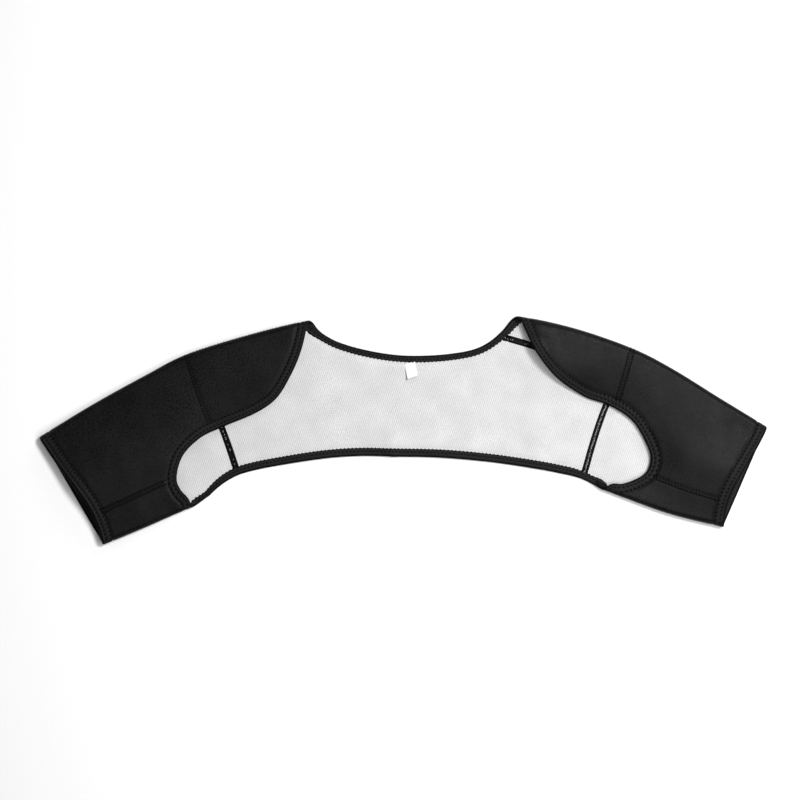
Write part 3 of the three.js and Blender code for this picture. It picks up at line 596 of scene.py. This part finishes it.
def swept(name, ring, material, is_loop, weave):
    """A closed piece from rings of points: an array of (place along, point of the ring, xyz)."""
    along, around = ring.shape[:2]
    i, j = np.meshgrid(np.arange(along if is_loop else along - 1), np.arange(around), indexing="ij")
    corners = [(i, j), ((i + 1) % along, j), ((i + 1) % along, (j + 1) % around), (i, (j + 1) % around)]
    faces = np.stack([a * around + b for a, b in corners], -1).reshape(-1, 4).tolist()
    if not is_loop:
        faces.append(list(range(around)))
        faces.append(list(range((along - 1) * around, along * around))[::-1])
    flat = weave.reshape(-1, 2)
    uv = flat[np.concatenate([np.array(face) for face in faces])]
    return piece(name, ring.reshape(-1, 3), faces, material, uv)


RINGS = ((0, -0.8, 0.6), (0.22, 0.6, 1), (0.78, 0.6, 1), (1, -0.8, 0.6))
SIDES = 5


def threads(name, starts, ends, ups, material, slot, radius, arch, breadth):
    """Stitches: a short arched length of thread, flattened or not, from each start to its end."""
    run = ends - starts
    side = unit(np.cross(run, ups))
    rings = []
    for share, rise, girth in RINGS:
        centre = starts + run * share + ups * (arch * rise)
        for k in range(SIDES):
            angle = 2 * math.pi * k / SIDES
            rings.append(centre + (side * breadth * math.cos(angle) + ups * math.sin(angle)) * (radius * girth))
    vertices = np.stack(rings, 1)
    count, each = vertices.shape[:2]
    tube = [[r * SIDES + k, r * SIDES + (k + 1) % SIDES, (r + 1) * SIDES + (k + 1) % SIDES, (r + 1) * SIDES + k]
            for r in range(len(RINGS) - 1) for k in range(SIDES)]
    caps = [list(range(SIDES))[::-1], list(range(each - SIDES, each))]
    shift = (np.arange(count) * each)[:, None, None]
    faces = (np.array(tube) + shift).reshape(-1, 4).tolist() + (np.array(caps) + shift).reshape(-1, SIDES).tolist()
    return piece(name, vertices.reshape(-1, 3), faces, material)


# Materials

def node_material(name, roughness, **settings):
    made = bpy.data.materials.new(name)
    made.use_nodes = True
    nodes, links = made.node_tree.nodes, made.node_tree.links
    shader = nodes["Principled BSDF"]
    shader.inputs["Roughness"].default_value = roughness
    for socket, value in settings.items():
        shader.inputs[socket.replace("_", " ")].default_value = value
    return made, nodes, links, shader


def weave_place(nodes, links, turn=0.0):
    """The place on the unrolled cloth, in metres, turned by an angle."""
    place = nodes.new("ShaderNodeUVMap")
    place.uv_map = "Weave"
    mapping = nodes.new("ShaderNodeMapping")
    mapping.inputs["Rotation"].default_value = (0, 0, turn)
    links.new(place.outputs["UV"], mapping.inputs["Vector"])
    return mapping.outputs["Vector"]


def noise(nodes, links, vector, size, detail=2.0, roughness=0.5):
    """Mottle with patches of about that size."""
    made = nodes.new("ShaderNodeTexNoise")
    made.inputs["Scale"].default_value = 1 / size
    made.inputs["Detail"].default_value = detail
    made.inputs["Roughness"].default_value = roughness
    links.new(vector, made.inputs["Vector"])
    return made.outputs["Fac"]


def bands(nodes, links, vector, period, direction="X", distortion=0.0):
    made = nodes.new("ShaderNodeTexWave")
    made.wave_type = "BANDS"
    made.bands_direction = direction
    made.inputs["Scale"].default_value = math.pi / 10 / period  # the bands repeat every pi / 10 / scale
    made.inputs["Distortion"].default_value = distortion
    made.inputs["Detail Scale"].default_value = 1.5
    links.new(vector, made.inputs["Vector"])
    return made.outputs["Fac"]


def combine(nodes, links, operation, a, b, c=0.0):
    made = nodes.new("ShaderNodeMath")
    made.operation = operation
    for socket, value in zip(made.inputs, (a, b, c)):
        if isinstance(value, (int, float)):
            socket.default_value = value
        else:
            links.new(value, socket)
    return made.outputs[0]


def blend_of(nodes, links, *parts):
    """The sum of (share, value) pairs."""
    total = combine(nodes, links, "MULTIPLY", parts[0][1], parts[0][0])
    for share, value in parts[1:]:
        total = combine(nodes, links, "ADD", total, combine(nodes, links, "MULTIPLY", value, share))
    return total


def grey_ramp(nodes, links, factor, dark, light, start, end):
    made = nodes.new("ShaderNodeValToRGB")
    for element, position, grey in zip(made.color_ramp.elements, (start, end), (dark, light)):
        element.position = position
        element.color = (grey, grey, grey, 1)
    links.new(factor, made.inputs["Fac"])
    return made.outputs["Color"]


def fade(nodes, links, value, start, end):
    """0 where the value is at start, and up to 1 at end."""
    made = nodes.new("ShaderNodeMapRange")
    made.inputs["From Min"].default_value = start
    made.inputs["From Max"].default_value = end
    links.new(value, made.inputs["Value"])
    return made.outputs["Result"]


def bump(nodes, links, height, distance):
    made = nodes.new("ShaderNodeBump")
    made.inputs["Distance"].default_value = distance
    links.new(height, made.inputs["Height"])
    return made.outputs["Normal"]


def knit_material():
    """Black nylon knit on foam: fine wales and courses, a slight mottle and a faint sheen."""
    made, nodes, links, shader = node_material("black_knit", 0.42, Specular_IOR_Level=0.075, Sheen_Weight=0.0,
                                               Sheen_Roughness=0.4)
    weave = weave_place(nodes, links)
    wales = bands(nodes, links, weave, 1.3 * MM, "X", 1.5)
    courses = bands(nodes, links, weave, 1.1 * MM, "Y", 1.5)
    grain = noise(nodes, links, weave, 1.9 * MM, 2, 0.7)
    cloud = noise(nodes, links, weave, 22 * MM, 2)
    loops = combine(nodes, links, "MULTIPLY", wales, courses)
    mixed = blend_of(nodes, links, (0.2, loops), (0.9, grain), (0.2, cloud))
    links.new(grey_ramp(nodes, links, mixed, 0.0001, 0.0066, 0.5, 0.7), shader.inputs["Base Color"])
    links.new(grey_ramp(nodes, links, grain, 0.26, 0.5, 0.38, 0.62), shader.inputs["Roughness"])
    links.new(bump(nodes, links, mixed, 0.4 * MM), shader.inputs["Normal"])
    return made


def lining_material():
    """Pale grey loop knit: fine ribs that lean a little, crossed by fainter ones, and a soft fuzz."""
    made, nodes, links, shader = node_material("grey_lining", 0.9, Specular_IOR_Level=0.1, Sheen_Weight=0.05,
                                               Sheen_Roughness=0.6)
    weave = weave_place(nodes, links)
    ribs = bands(nodes, links, weave_place(nodes, links, math.radians(-17)), 2.1 * MM, "X", 0.7)
    crossed = bands(nodes, links, weave_place(nodes, links, math.radians(38)), 2.4 * MM, "X", 1.2)
    patches = noise(nodes, links, weave, 30 * MM, 2)
    fuzz = noise(nodes, links, weave, 1.6 * MM, 2, 0.6)
    mixed = blend_of(nodes, links, (0.34, ribs), (0.08, crossed), (0.6, fuzz), (0.4, patches))
    links.new(grey_ramp(nodes, links, mixed, 0.375, 0.595, 0.4, 1.0), shader.inputs["Base Color"])
    links.new(bump(nodes, links, mixed, 0.3 * MM), shader.inputs["Normal"])
    return made


def binding_material():
    """Black stretch tape with a fine cross rib, and painted shade that darkens it along its rolled outer lip."""
    made, nodes, links, shader = node_material("black_binding", 0.5, Specular_IOR_Level=0.075)
    weave = weave_place(nodes, links)
    ribs = bands(nodes, links, weave, 1.1 * MM, "X", 0.6)
    grain = noise(nodes, links, weave, 1.4 * MM, 2)
    mixed = blend_of(nodes, links, (0.3, ribs), (0.8, grain))
    parts = nodes.new("ShaderNodeSeparateXYZ")
    links.new(weave, parts.inputs["Vector"])
    in_from_edge = combine(nodes, links, "ABSOLUTE", parts.outputs["Y"], 0)
    # painted shade: the base colour is darkened to 0.3 at the tape's outer lip and fades out between 1.6 and 3 mm
    # in, standing for the shade of the rolled edge
    painted_lip_shade = combine(nodes, links, "MULTIPLY_ADD", fade(nodes, links, in_from_edge, 1.6 * MM, 3 * MM), 0.7, 0.3)
    shade = combine(nodes, links, "MULTIPLY", mixed, painted_lip_shade)
    links.new(grey_ramp(nodes, links, shade, 0.0005, 0.012, 0.25, 0.8), shader.inputs["Base Color"])
    links.new(bump(nodes, links, mixed, 0.25 * MM), shader.inputs["Normal"])
    return made


def band_material(name, specular):
    """Black thread laid closely across a seam."""
    made, nodes, links, shader = node_material(name, 0.4, Specular_IOR_Level=specular)
    weave = weave_place(nodes, links)
    grain = noise(nodes, links, weave, 1.5 * MM, 2)
    links.new(grey_ramp(nodes, links, grain, 0.0004, 0.005, 0.35, 0.65), shader.inputs["Base Color"])
    links.new(bump(nodes, links, grain, 0.4 * MM), shader.inputs["Normal"])
    return made


def thread_material():
    """Black polyester thread."""
    made, nodes, links, shader = node_material("black_thread", 0.8, Specular_IOR_Level=0.01)
    place = nodes.new("ShaderNodeTexCoord").outputs["Object"]
    grain = noise(nodes, links, place, 0.5 * MM)
    links.new(grey_ramp(nodes, links, grain, 0.0005, 0.0025, 0.3, 0.7), shader.inputs["Base Color"])
    return made


def label_material():
    """White satin label tape with fine woven lines."""
    made, nodes, links, shader = node_material("white_satin", 0.42, Specular_IOR_Level=0.4, Sheen_Weight=0.1)
    weave = weave_place(nodes, links)
    lines = bands(nodes, links, weave, 0.7 * MM, "Y", 0.3)
    grain = noise(nodes, links, weave, 2 * MM)
    mixed = blend_of(nodes, links, (0.5, lines), (0.5, grain))
    links.new(grey_ramp(nodes, links, mixed, 0.62, 0.72, 0.2, 0.8), shader.inputs["Base Color"])
    links.new(bump(nodes, links, mixed, 0.06 * MM), shader.inputs["Normal"])
    return made


KNIT = knit_material()
LINING_KNIT = lining_material()
BINDING = binding_material()
FACE_BAND = band_material("black_face_seam", 0.065)
SEAM_BAND = band_material("black_seam", 0.05)
THREAD_BLACK = thread_material()
LABEL = label_material()


# Panels

TURN_STEPS = 7
FLAT_STEPS = 74


def ways_between(start, end):
    """Ways round from start to end, close together where the cloth turns over a fold."""
    fold = np.linspace(0, TURN, TURN_STEPS + 1)
    half = np.concatenate([fold, np.linspace(TURN, 1 - TURN, FLAT_STEPS)[1:-1], 1 - fold])
    full = np.unique(np.round(np.concatenate([-half, half]), 6))
    inner = full[(full > start + 0.004) & (full < end - 0.004)]
    return np.concatenate([[start], inner, [end]])


def panel(name, u, w, weave, wrap=False, from_cuff=None):
    """The knit face with its foam, and the lining under it, of one panel."""
    half = half_wall(u, w, from_cuff)
    middle_at, up = middle(u, w), face_normal(u, w)

    def at(offset):
        return middle_at + up * offset[..., None]

    inner = -half + LINING
    dent = np.minimum(groove(SEAM_LINE.nearest(u, w)[0]), half + half * 0.4)
    for part, outer, under, material, slot in (("", half - dent, inner + PLY_GAP, KNIT, "knit"),
                                               ("_lining", inner, -half, LINING_KNIT, "lining")):
        made = slab(f"{name}{part}_cloth", at(outer), at(under), weave, material, wrap)
        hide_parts(name + part)


def sleeve(arm):
    ways = ways_between(-1.0, 1.0)
    joins = np.array([arm.front_w, arm.hem_w])
    free = ways[np.min(np.abs(ways[:, None] - joins), 1) > 0.004]
    ways = np.sort(np.concatenate([free, joins]))
    start, end = arm.cuff_u(ways), arm.end_u(ways)
    u = start + (end - start) * np.linspace(0, 1, 110)[:, None]
    w = np.broadcast_to(ways, u.shape)
    from_cuff = np.linalg.norm(middle(u, w) - middle(start, ways), axis=-1)
    weave = unrolled(u, np.clip(w, -1 + 1e-9, 1 - 1e-9))
    panel(f"{arm.name}_sleeve", u[:, :-1], w[:, :-1], weave, True, from_cuff[:, :-1])


def shoulder(arm):
    """Rows from the sleeve seam to the opening, up from where they meet, over the fold to the shoulder seam."""
    shares = np.linspace(0, 1, 64)
    _, top = arm.shoulder_seam(shares)
    top = np.broadcast_to(top, shares.shape)
    over_fold = min(TURN, top.min())
    ways = ways_between(arm.front_w + 0.006, over_fold)
    rows = [np.full(len(shares), way) for way in ways]
    if top.min() > TURN:
        rows += [over_fold + (top - over_fold) * step for step in np.linspace(0, 1, 16)[1:]]
    w = np.array(rows)
    start = arm.towards_neck(arm.seam_u(w), w, SEAM_GAP / 2)
    end = edge_u(w, arm.front_join, arm.neck_join)
    u = start + (end - start) * shares
    panel(f"{arm.name}_shoulder_panel", u, w, unrolled(u, w))


def back():
    """Columns from the hem up to a shoulder seam or the neck."""
    shares = np.linspace(0, 1, 60)[:-1]
    seams = [[np.broadcast_to(side, shares.shape) for side in arm.shoulder_seam(shares)] for arm in ARMS]
    neck = on_opening(np.linspace(LEFT.neck_join, RIGHT.neck_join - 1, 120))
    top_u, top_w = (np.concatenate([left, middle_part, right[::-1]])
                    for left, middle_part, right in zip(seams[0], neck, seams[1]))
    t = (top_u - top_u[0]) / (top_u[-1] - top_u[0])
    hem_u, hem_w = on_opening(LEFT.hem_join + (RIGHT.hem_join - LEFT.hem_join) * t)
    hem_w = hem_w + 2
    turned, low_turned = np.maximum(TURN, top_w + 0.02), np.minimum(1 - TURN, hem_w - 0.02)
    short, long = np.linspace(0, 1, TURN_STEPS + 1)[:, None], np.linspace(0, 1, 66)[1:-1, None]
    w = np.concatenate([hem_w + (low_turned - hem_w) * short,
                        low_turned + (turned - low_turned) * long,
                        turned + (top_w - turned) * short])
    share = (w - hem_w) / (top_w - hem_w)
    bows = []
    for arm in ARMS:
        at_hem, at_top = arm.seam_u(hem_w), arm.seam_u(top_w)
        bows.append(arm.seam_u(w) - at_hem - (at_top - at_hem) * share)
    u = hem_u + (top_u - hem_u) * share + bows[0] + (bows[1] - bows[0]) * t
    for arm, column in ((LEFT, 0), (RIGHT, -1)):
        u[:, column] = arm.towards_neck(u[:, column], w[:, column], SEAM_GAP / 2)
    panel("back_panel", u[::-1], w[::-1], unrolled(u[::-1], w[::-1]))


back()
for arm in ARMS:
    shoulder(arm)
    sleeve(arm)


# Bindings and their stitches

# The tape's section, in millimetres: the distance from the edge and the height over the wall's middle. A full
# lip comes first, then a dip at each row of stitches. The last point is the tape's own edge.
FACE_SIDE = [(-0.4, 0), (-0.3, 0.55), (0.05, 0.95), (0.8, 1.3), (1.8, 1.52), (2.9, 1.48), (3.6, 1.32),
             (4.2, 1.25), (4.9, 1.38), (6.2, 1.48), (7.6, 1.4), (8.4, 1.24), (9.0, 1.16), (9.8, 0.98)]
LINING_SIDE = [(-0.3, 0.55), (0.05, 0.95), (0.9, 1.28), (1.9, 1.42), (2.9, 1.42), (3.8, 1.34), (4.6, 1.2),
               (5.4, 1.36), (6.4, 1.36), (7.4, 1.22), (8.4, 0.98)]
SLOT = 0.68
SLOT_START = -0.03
ROWS = (4.2, 9.0)  # of stitches on the knit side
INNER_ROW = 4.6  # and on the lining
HOLE = 0.5  # how deep a stitch pulls the tape in
TOOTH = 0.6  # how far the tape's edge on the lining is drawn back between stitches


# Where the tape is wider or narrower on the lining: row of the opening, how much, and over how many millimetres
WIDTHS = [(LEFT_POINT, 0.8, 13), (RIGHT_POINT, 0.3, 20), (LEFT_PIT, -0.45, 32), (LEFT_PIT, 0.3, 10),
          (RIGHT_PIT, -0.2, 24), (RIGHT_PIT, 0.45, 9)]
WIDTH_SPREAD = 9  # how many steps of the tape a change of its width is spread over


def inner_width(path):
    """How wide the tape is on the lining, as a share: widest at the shoulders, narrower round the neck and in
    the armpits, where it turns under."""
    if path is not OPENING_PATH:
        return np.ones(len(path.at))
    on_back = round_w(path.w) > 0
    points = middle(path.u, path.w)
    x, y = points[:, 0] / MM, points[:, 1] / MM
    width = np.where(on_back, 1.06 - 0.22 * ease((y + 20) / 80), 0.95)
    for row, more, spread in WIDTHS:
        at_x, at_y = middle(*on_opening(row_share(row)))[:2] / MM
        width += more * np.exp(-((x - at_x) ** 2 + (y - at_y) ** 2) / spread ** 2)
    spread = np.hanning(WIDTH_SPREAD + 2)[1:-1]
    side = WIDTH_SPREAD // 2
    round_again = np.concatenate([width[-side:], width, width[:side]])
    return np.convolve(round_again, spread / spread.sum(), "valid")


def pulled(at, distance, pitch):
    """How far in the tape is pulled: at each stitch hole, and along the slanting cover thread between."""
    turn = 2 * np.pi * at / pitch
    holes = sum(np.exp(-((distance - row) / 0.8) ** 2) * (0.5 + 0.5 * np.cos(turn - np.pi * index))
                for index, row in enumerate(ROWS))
    across = (distance - ROWS[0]) / (ROWS[1] - ROWS[0])
    slant = ease(4 * across) * ease(4 * (1 - across)) * (0.5 + 0.5 * np.cos(turn - np.pi * across)) ** 2
    return HOLE * holes + 0.1 * slant


def tape(name, path, width, first=0.0, length=None, proud=0.0):
    """A folded tape along a path, or along one length of it."""
    scale = width / BINDING_WIDTH
    pitch = STEPS_A_STITCH * path.step
    at = path.at if length is None else first + np.linspace(0, length, 14)
    narrowing = np.interp(at % path.length, path.at, inner_width(path))
    outline = [(d, h, 1.0) for d, h in FACE_SIDE]
    outline += [(FACE_SIDE[-1][0], SLOT, 1.0), (SLOT_START, SLOT, 1.0)]
    outline += [(SLOT_START, -SLOT, 1.0), (LINING_SIDE[-1][0], -SLOT, narrowing)]
    outline += [(d, -h, 1 + (narrowing - 1) * min(1, max(0, d / 3))) for d, h in LINING_SIDE[::-1]]
    ring = []
    for distance, height, narrow in outline:
        is_slot = abs(height) == SLOT
        drawn = 0 * at
        if not is_slot and distance > 2 and height > 0:
            drawn = pulled(at, distance, pitch)
        if not is_slot and distance > 2 and height < 0:
            hole = 0.5 + 0.5 * np.cos(2 * np.pi * at / pitch)
            drawn = HOLE * np.exp(-((distance - INNER_ROW) / 0.8) ** 2) * hole
        grown = 0 if is_slot else proud
        out = height + math.copysign(1, height) * (grown - drawn) if height else height + 0 * at
        beyond = -grown if distance < 1 else 0
        if (distance, height) == (LINING_SIDE[-1][0], -LINING_SIDE[-1][1]) or (is_slot and height < 0 < distance):
            beyond = -TOOTH * np.abs(1 - 2 * (at / (STEPS_A_STITCH * path.step) % 1)) + 0.5 * TOOTH
        place = path.place(at, (distance * narrow * scale + beyond) * MM)
        ring.append(cloth(*place, out * MM + 0 * at))
    ring = np.stack(ring, 1)
    in_from_edge = [math.copysign(distance + 0.5, height) * MM for distance, height, _ in outline]
    weave = np.stack(np.meshgrid(at, in_from_edge, indexing="ij"), -1)
    return swept(name, ring, BINDING, length is None, weave)


def stitches(name, path, runs, height, radius=0.26, arch=0.25, breadth=1.0, material=None, slot="seam_thread"):
    """Stitches from (place, distance) to (place, distance), in metres, at a height over the wall's middle."""
    points = []
    for at, distance in runs:
        points.append(cloth(*path.place(at, distance), height + 0 * at))
    up = face_normal(*path.place(runs[0][0], runs[0][1])) * np.sign(np.mean(height))
    return threads(name, *points, up, material or THREAD_BLACK, slot, radius * MM, arch * MM, breadth)


def stitch_places(path):
    return path.at[::STEPS_A_STITCH]


def bound(name, path, width, node):
    """A binding with its stitches: two rows and a slanting cover thread outside, one row and loops inside."""
    made = tape(name, path, width)
    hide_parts(node)
    scale = width / BINDING_WIDTH * MM
    at, pitch = stitch_places(path), STEPS_A_STITCH * path.step
    near, far = (row * scale for row in ROWS)
    stitches(f"{name}_near_row", path, [(at - 0.25 * pitch, near), (at + 0.25 * pitch, near)], 0.95 * MM, 0.48, 0.12,
             breadth=1.7)
    stitches(f"{name}_far_row", path, [(at + 0.25 * pitch, far), (at + 0.75 * pitch, far)], 0.9 * MM, 0.48, 0.12,
             breadth=1.7)
    stitches(f"{name}_cover_thread", path, [(at, near), (at + pitch / 2, far)], 1.2 * MM, 0.26, 0.1,
             material=BINDING)
    narrow = np.interp(at % path.length, path.at, inner_width(path))
    row, edge = INNER_ROW * narrow * scale, LINING_SIDE[-1][0] * narrow * scale
    stitches(f"{name}_inner_row", path, [(at - 0.22 * pitch, row), (at + 0.22 * pitch, row)], -1.0 * MM, 0.42, 0.12,
             breadth=1.5)
    for index, slant in enumerate((-0.24, 0.24)):
        stitches(f"{name}_edge_loops_{index + 1}", path,
                 [(at + (0.5 + slant) * pitch, edge - 1.2 * scale), (at + 0.5 * pitch, edge + 0.5 * scale)],
                 -1.1 * MM, 0.34, 0.2)


def cuff_path(arm):
    ways = ways_between(-1.0, 1.0)[:-1][::arm.inward]
    u = arm.cuff_u(ways)
    turn = 2 * arm.inward
    return Path(np.append(u, u[0]), np.append(ways, ways[0] + turn), TAPE_STEP, BINDING_REACH, turn=turn)


bound("opening_tape", OPENING_PATH, BINDING_WIDTH, "opening_binding")
for arm in ARMS:
    bound(f"{arm.name}_cuff_tape", cuff_path(arm), CUFF_BINDING_WIDTH, f"{arm.name}_cuff_binding")

# Where the tape's two ends overlap, in the hem
on_hem = OPENING_PATH.w < -1
joint = OPENING_PATH.at[on_hem][np.argmin(np.abs(middle(OPENING_PATH.u, OPENING_PATH.w)[on_hem, 0] + 11.5 * MM))]
tape("opening_tape_overlap", OPENING_PATH, BINDING_WIDTH, joint - 4 * MM, 8 * MM, proud=0.3)


# Seams

FACE_SEAM_WIDTH = 6.6 * MM
COVER_WIDTH = 7.4 * MM
SEAM_STITCH = 3.6 * MM
COVER = 0.45 * MM  # how far a seam's cover stands over the lining


def face_seam(name, places, teeth=0.0):
    """A sunk flat seam on the knit face: a soft band across the join, with threads slanting over it."""
    path = Path(*places, 0.9 * MM, (-FACE_SEAM_WIDTH / 2, FACE_SEAM_WIDTH / 2))
    half = FACE_SEAM_WIDTH / 2
    across = np.array([-1, -0.6, -0.2, 0.2, 0.6, 1]) * half
    wall = half_wall(path.u, path.w)
    bulge = 1 + teeth * np.cos(2 * np.pi * path.at / (1.2 * STITCH))
    upper = [cloth(*path.place(path.at, d), wall - groove(d) + 0.2 * MM * bulge * (1 - (d / half) ** 2))
             for d in across]
    lower = [cloth(*path.place(path.at, d), wall - groove(d) - 0.2 * MM) for d in across[::-1]]
    ring = np.stack(upper + lower, 1)
    weave = np.stack(np.meshgrid(path.at, np.arange(len(across) * 2) * 1.2 * MM, indexing="ij"), -1)
    swept(name, ring, FACE_BAND, False, weave)
    for index, (side, shift, radius) in enumerate(((-0.66, 0, 0.5), (0, 0.25, 0.32), (0.66, 0.5, 0.5))):
        at = np.arange(shift * SEAM_STITCH, path.length - SEAM_STITCH, SEAM_STITCH)
        level = np.interp(at, path.at, wall) - groove(side * half) + 0.16 * MM
        stitches(f"{name}_row_{index + 1}", path,
                 [(at, side * half), (at + 0.45 * SEAM_STITCH, side * half)], level, radius, 0.12, breadth=1.7)


def seam_cover(name, node, places, flecks, seed):
    """The same seam from inside: two dense black rows, and the lining's loops that show between them."""
    path = Path(*places, 0.9 * MM, (-COVER_WIDTH / 2, COVER_WIDTH / 2))
    half = COVER_WIDTH / 2
    across = np.array([-1, -0.75, -0.45, 0, 0.45, 0.75, 1]) * half
    crown = np.array([0.1, 1, 0.9, 0.45, 0.9, 1, 0.1]) * COVER
    wall = half_wall(path.u, path.w)
    upper = [cloth(*path.place(path.at, d), -wall - h) for d, h in zip(across, crown)]
    lower = [cloth(*path.place(path.at, d), -wall + 0.2 * MM) for d in across[::-1]]
    ring = np.stack(upper + lower, 1)[:, ::-1]
    weave = np.stack(np.meshgrid(path.at, np.arange(len(across) * 2) * 1.1 * MM, indexing="ij"), -1)
    made = swept(name, ring, SEAM_BAND, False, weave)
    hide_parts(node)
    at = np.arange(0.5 * MM, path.length - 1 * MM, 1.1 * MM)
    level = -np.interp(at, path.at, wall) - COVER
    for side in (-1, 1):
        stitches(f"{name}_threads_{'near' if side < 0 else 'far'}", path,
                 [(at, side * half * 1.02), (at + 0.8 * MM, side * half * 0.4)], level, 0.24, 0.25)
    chance = np.random.default_rng(seed)
    at = at[chance.random(len(at)) < flecks]
    drift = (chance.random((2, len(at))) - 0.5) * 0.5 * half
    level = -np.interp(at, path.at, wall) - 0.55 * COVER
    stitches(f"{name}_loops", path, [(at, drift[0]), (at + 1.1 * MM, drift[1])], level, 0.3, 0.2,
             material=LINING_KNIT, slot="lining")


UNDER_TAPE = 5.8 * MM  # an inside cover's ends tuck under the tape's edge

for arm in ARMS:
    face_seam(f"{arm.name}_sleeve_seam_face", sleeve_seam(arm, ON_FACE))
    face_seam(f"{arm.name}_underarm_seam", underarm_seam(arm))
    face_seam(f"{arm.name}_shoulder_seam_face", shoulder_seam(arm, ON_FACE), teeth=1.0 if arm is LEFT else 0.0)
seam_cover("left_sleeve_seam_inside", "left_sleeve_seam_cover", sleeve_seam(LEFT, UNDER_TAPE), 0.35, 3)
seam_cover("right_sleeve_seam_inside", "right_sleeve_seam_cover", sleeve_seam(RIGHT, UNDER_TAPE), 0.8, 5)
seam_cover("right_shoulder_seam_inside", "right_shoulder_seam_cover", shoulder_seam(RIGHT, UNDER_TAPE), 0.25, 7)


# The label

LABEL_WIDTH, LABEL_LENGTH = 12.2 * MM, 17 * MM
LABEL_X = 7.0 * MM
LABEL_LEAN = math.radians(12)
LABEL_LAYER = 0.32 * MM


def label():
    """A satin label, folded double at its lower end, that hangs askew from under the neck's binding."""
    start = np.array([LABEL_X, middle(*on_opening(0.0))[1] - 7.2 * MM])
    down = np.array([math.sin(LABEL_LEAN), -math.cos(LABEL_LEAN)])
    across = np.array([math.cos(LABEL_LEAN), math.sin(LABEL_LEAN)])
    fall = np.linspace(0, 1, 16)
    rise = 2.5 * MM + 0.75 * MM * ease(fall * 4) + 4.2 * MM * fall ** 2
    upper = np.stack([fall * LABEL_LENGTH, rise + 1.5 * LABEL_LAYER], -1)
    bend = np.linspace(np.pi / 2, -np.pi / 2, 7)[1:-1]
    fold = np.stack([LABEL_LENGTH + 0.8 * LABEL_LAYER * np.cos(bend),
                     rise[-1] + 0.75 * LABEL_LAYER * (1 + np.sin(bend))], -1)
    lower = np.stack([fall * LABEL_LENGTH, rise], -1)[::-1]
    profile = np.concatenate([upper, fold, lower])
    along = np.gradient(profile, axis=0)
    out = unit(np.stack([-along[:, 1], along[:, 0]], -1))
    sides = np.linspace(-0.5, 0.5, 9)
    curl = 0.35 * MM * (2 * sides) ** 2

    def skin(offset):
        points = profile + out * offset
        plan = (start + points[:, None, :1] * down + sides[None, :, None] * LABEL_WIDTH * across
                - 0.6 * np.tan(LABEL_LEAN) * sides[None, :, None] * LABEL_WIDTH * down)
        return np.concatenate([plan, (points[:, 1, None] + curl)[..., None]], -1)

    run = np.cumsum(np.linalg.norm(np.diff(profile, axis=0, prepend=profile[:1]), axis=-1))
    weave = np.stack(np.meshgrid(sides * LABEL_WIDTH, run), -1)
    made = slab("folded_label", skin(LABEL_LAYER / 2), skin(-LABEL_LAYER / 2), weave, LABEL)
    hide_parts("size_label")


label()



# Studio

FRAME_WIDTH = 905 * MM
CAMERA_HEIGHT = 2.4
SENSOR = 36


def camera():
    data = bpy.data.cameras.new("camera")
    data.sensor_width = SENSOR
    data.lens = SENSOR * CAMERA_HEIGHT / FRAME_WIDTH
    made = bpy.data.objects.new("camera", data)
    made.location = (-3.6 * MM, 34.5 * MM, CAMERA_HEIGHT)
    bpy.context.scene.collection.objects.link(made)
    bpy.context.scene.camera = made


def floor():
    """A plain pale table with a barely visible grain."""
    made, nodes, links, shader = node_material("pale_floor", 0.95, Specular_IOR_Level=0.1)
    place = nodes.new("ShaderNodeTexCoord").outputs["Object"]
    grain = noise(nodes, links, place, 3 * MM)
    links.new(grey_ramp(nodes, links, grain, 0.8, 0.81, 0.3, 0.7), shader.inputs["Base Color"])
    size = 6.0
    mesh = bpy.data.meshes.new("floor")
    mesh.from_pydata([(-size, -size, 0), (size, -size, 0), (size, size, 0), (-size, size, 0)], [], [(0, 1, 2, 3)])
    mesh.materials.append(made)
    ground = bpy.data.objects.new("floor", mesh)
    ground.location.z = -0.4 * MM
    bpy.context.scene.collection.objects.link(ground)


def softbox(name, place, target, size, power):
    data = bpy.data.lights.new(name, "AREA")
    data.shape = "RECTANGLE"
    data.size, data.size_y = size
    data.energy = power
    made = bpy.data.objects.new(name, data)
    made.location = place
    made.rotation_euler = (Vector(target) - Vector(place)).to_track_quat("-Z", "Y").to_euler()
    bpy.context.scene.collection.objects.link(made)


def room(strength):
    made = bpy.data.worlds.new("studio")
    made.use_nodes = True
    background = made.node_tree.nodes["Background"]
    background.inputs["Color"].default_value = (1, 1, 1, 1)
    background.inputs["Strength"].default_value = strength
    bpy.context.scene.world = made


camera()
floor()
room(0.11)
softbox("side", (0.46, 0.12, 1.3), (0.46, 0.12, 0), (0.44, 0.8), 6.6)
softbox("near", (0.36, -0.62, 1.3), (0.36, -0.62, 0), (0.66, 0.66), 9)
softbox("key", (1.08, 0.79, 2.5), (0, 0, 0), (0.6, 0.6), 68)
softbox("fill", (-2.2, 0.8, 1.7), (0, 0, 0), (1.2, 1.2), 7)
softbox("rim", (0.9, 2.2, 1.1), (0.3, 0, 0), (1.6, 0.9), 14)
bpy.context.scene.view_settings.view_transform = "Standard"
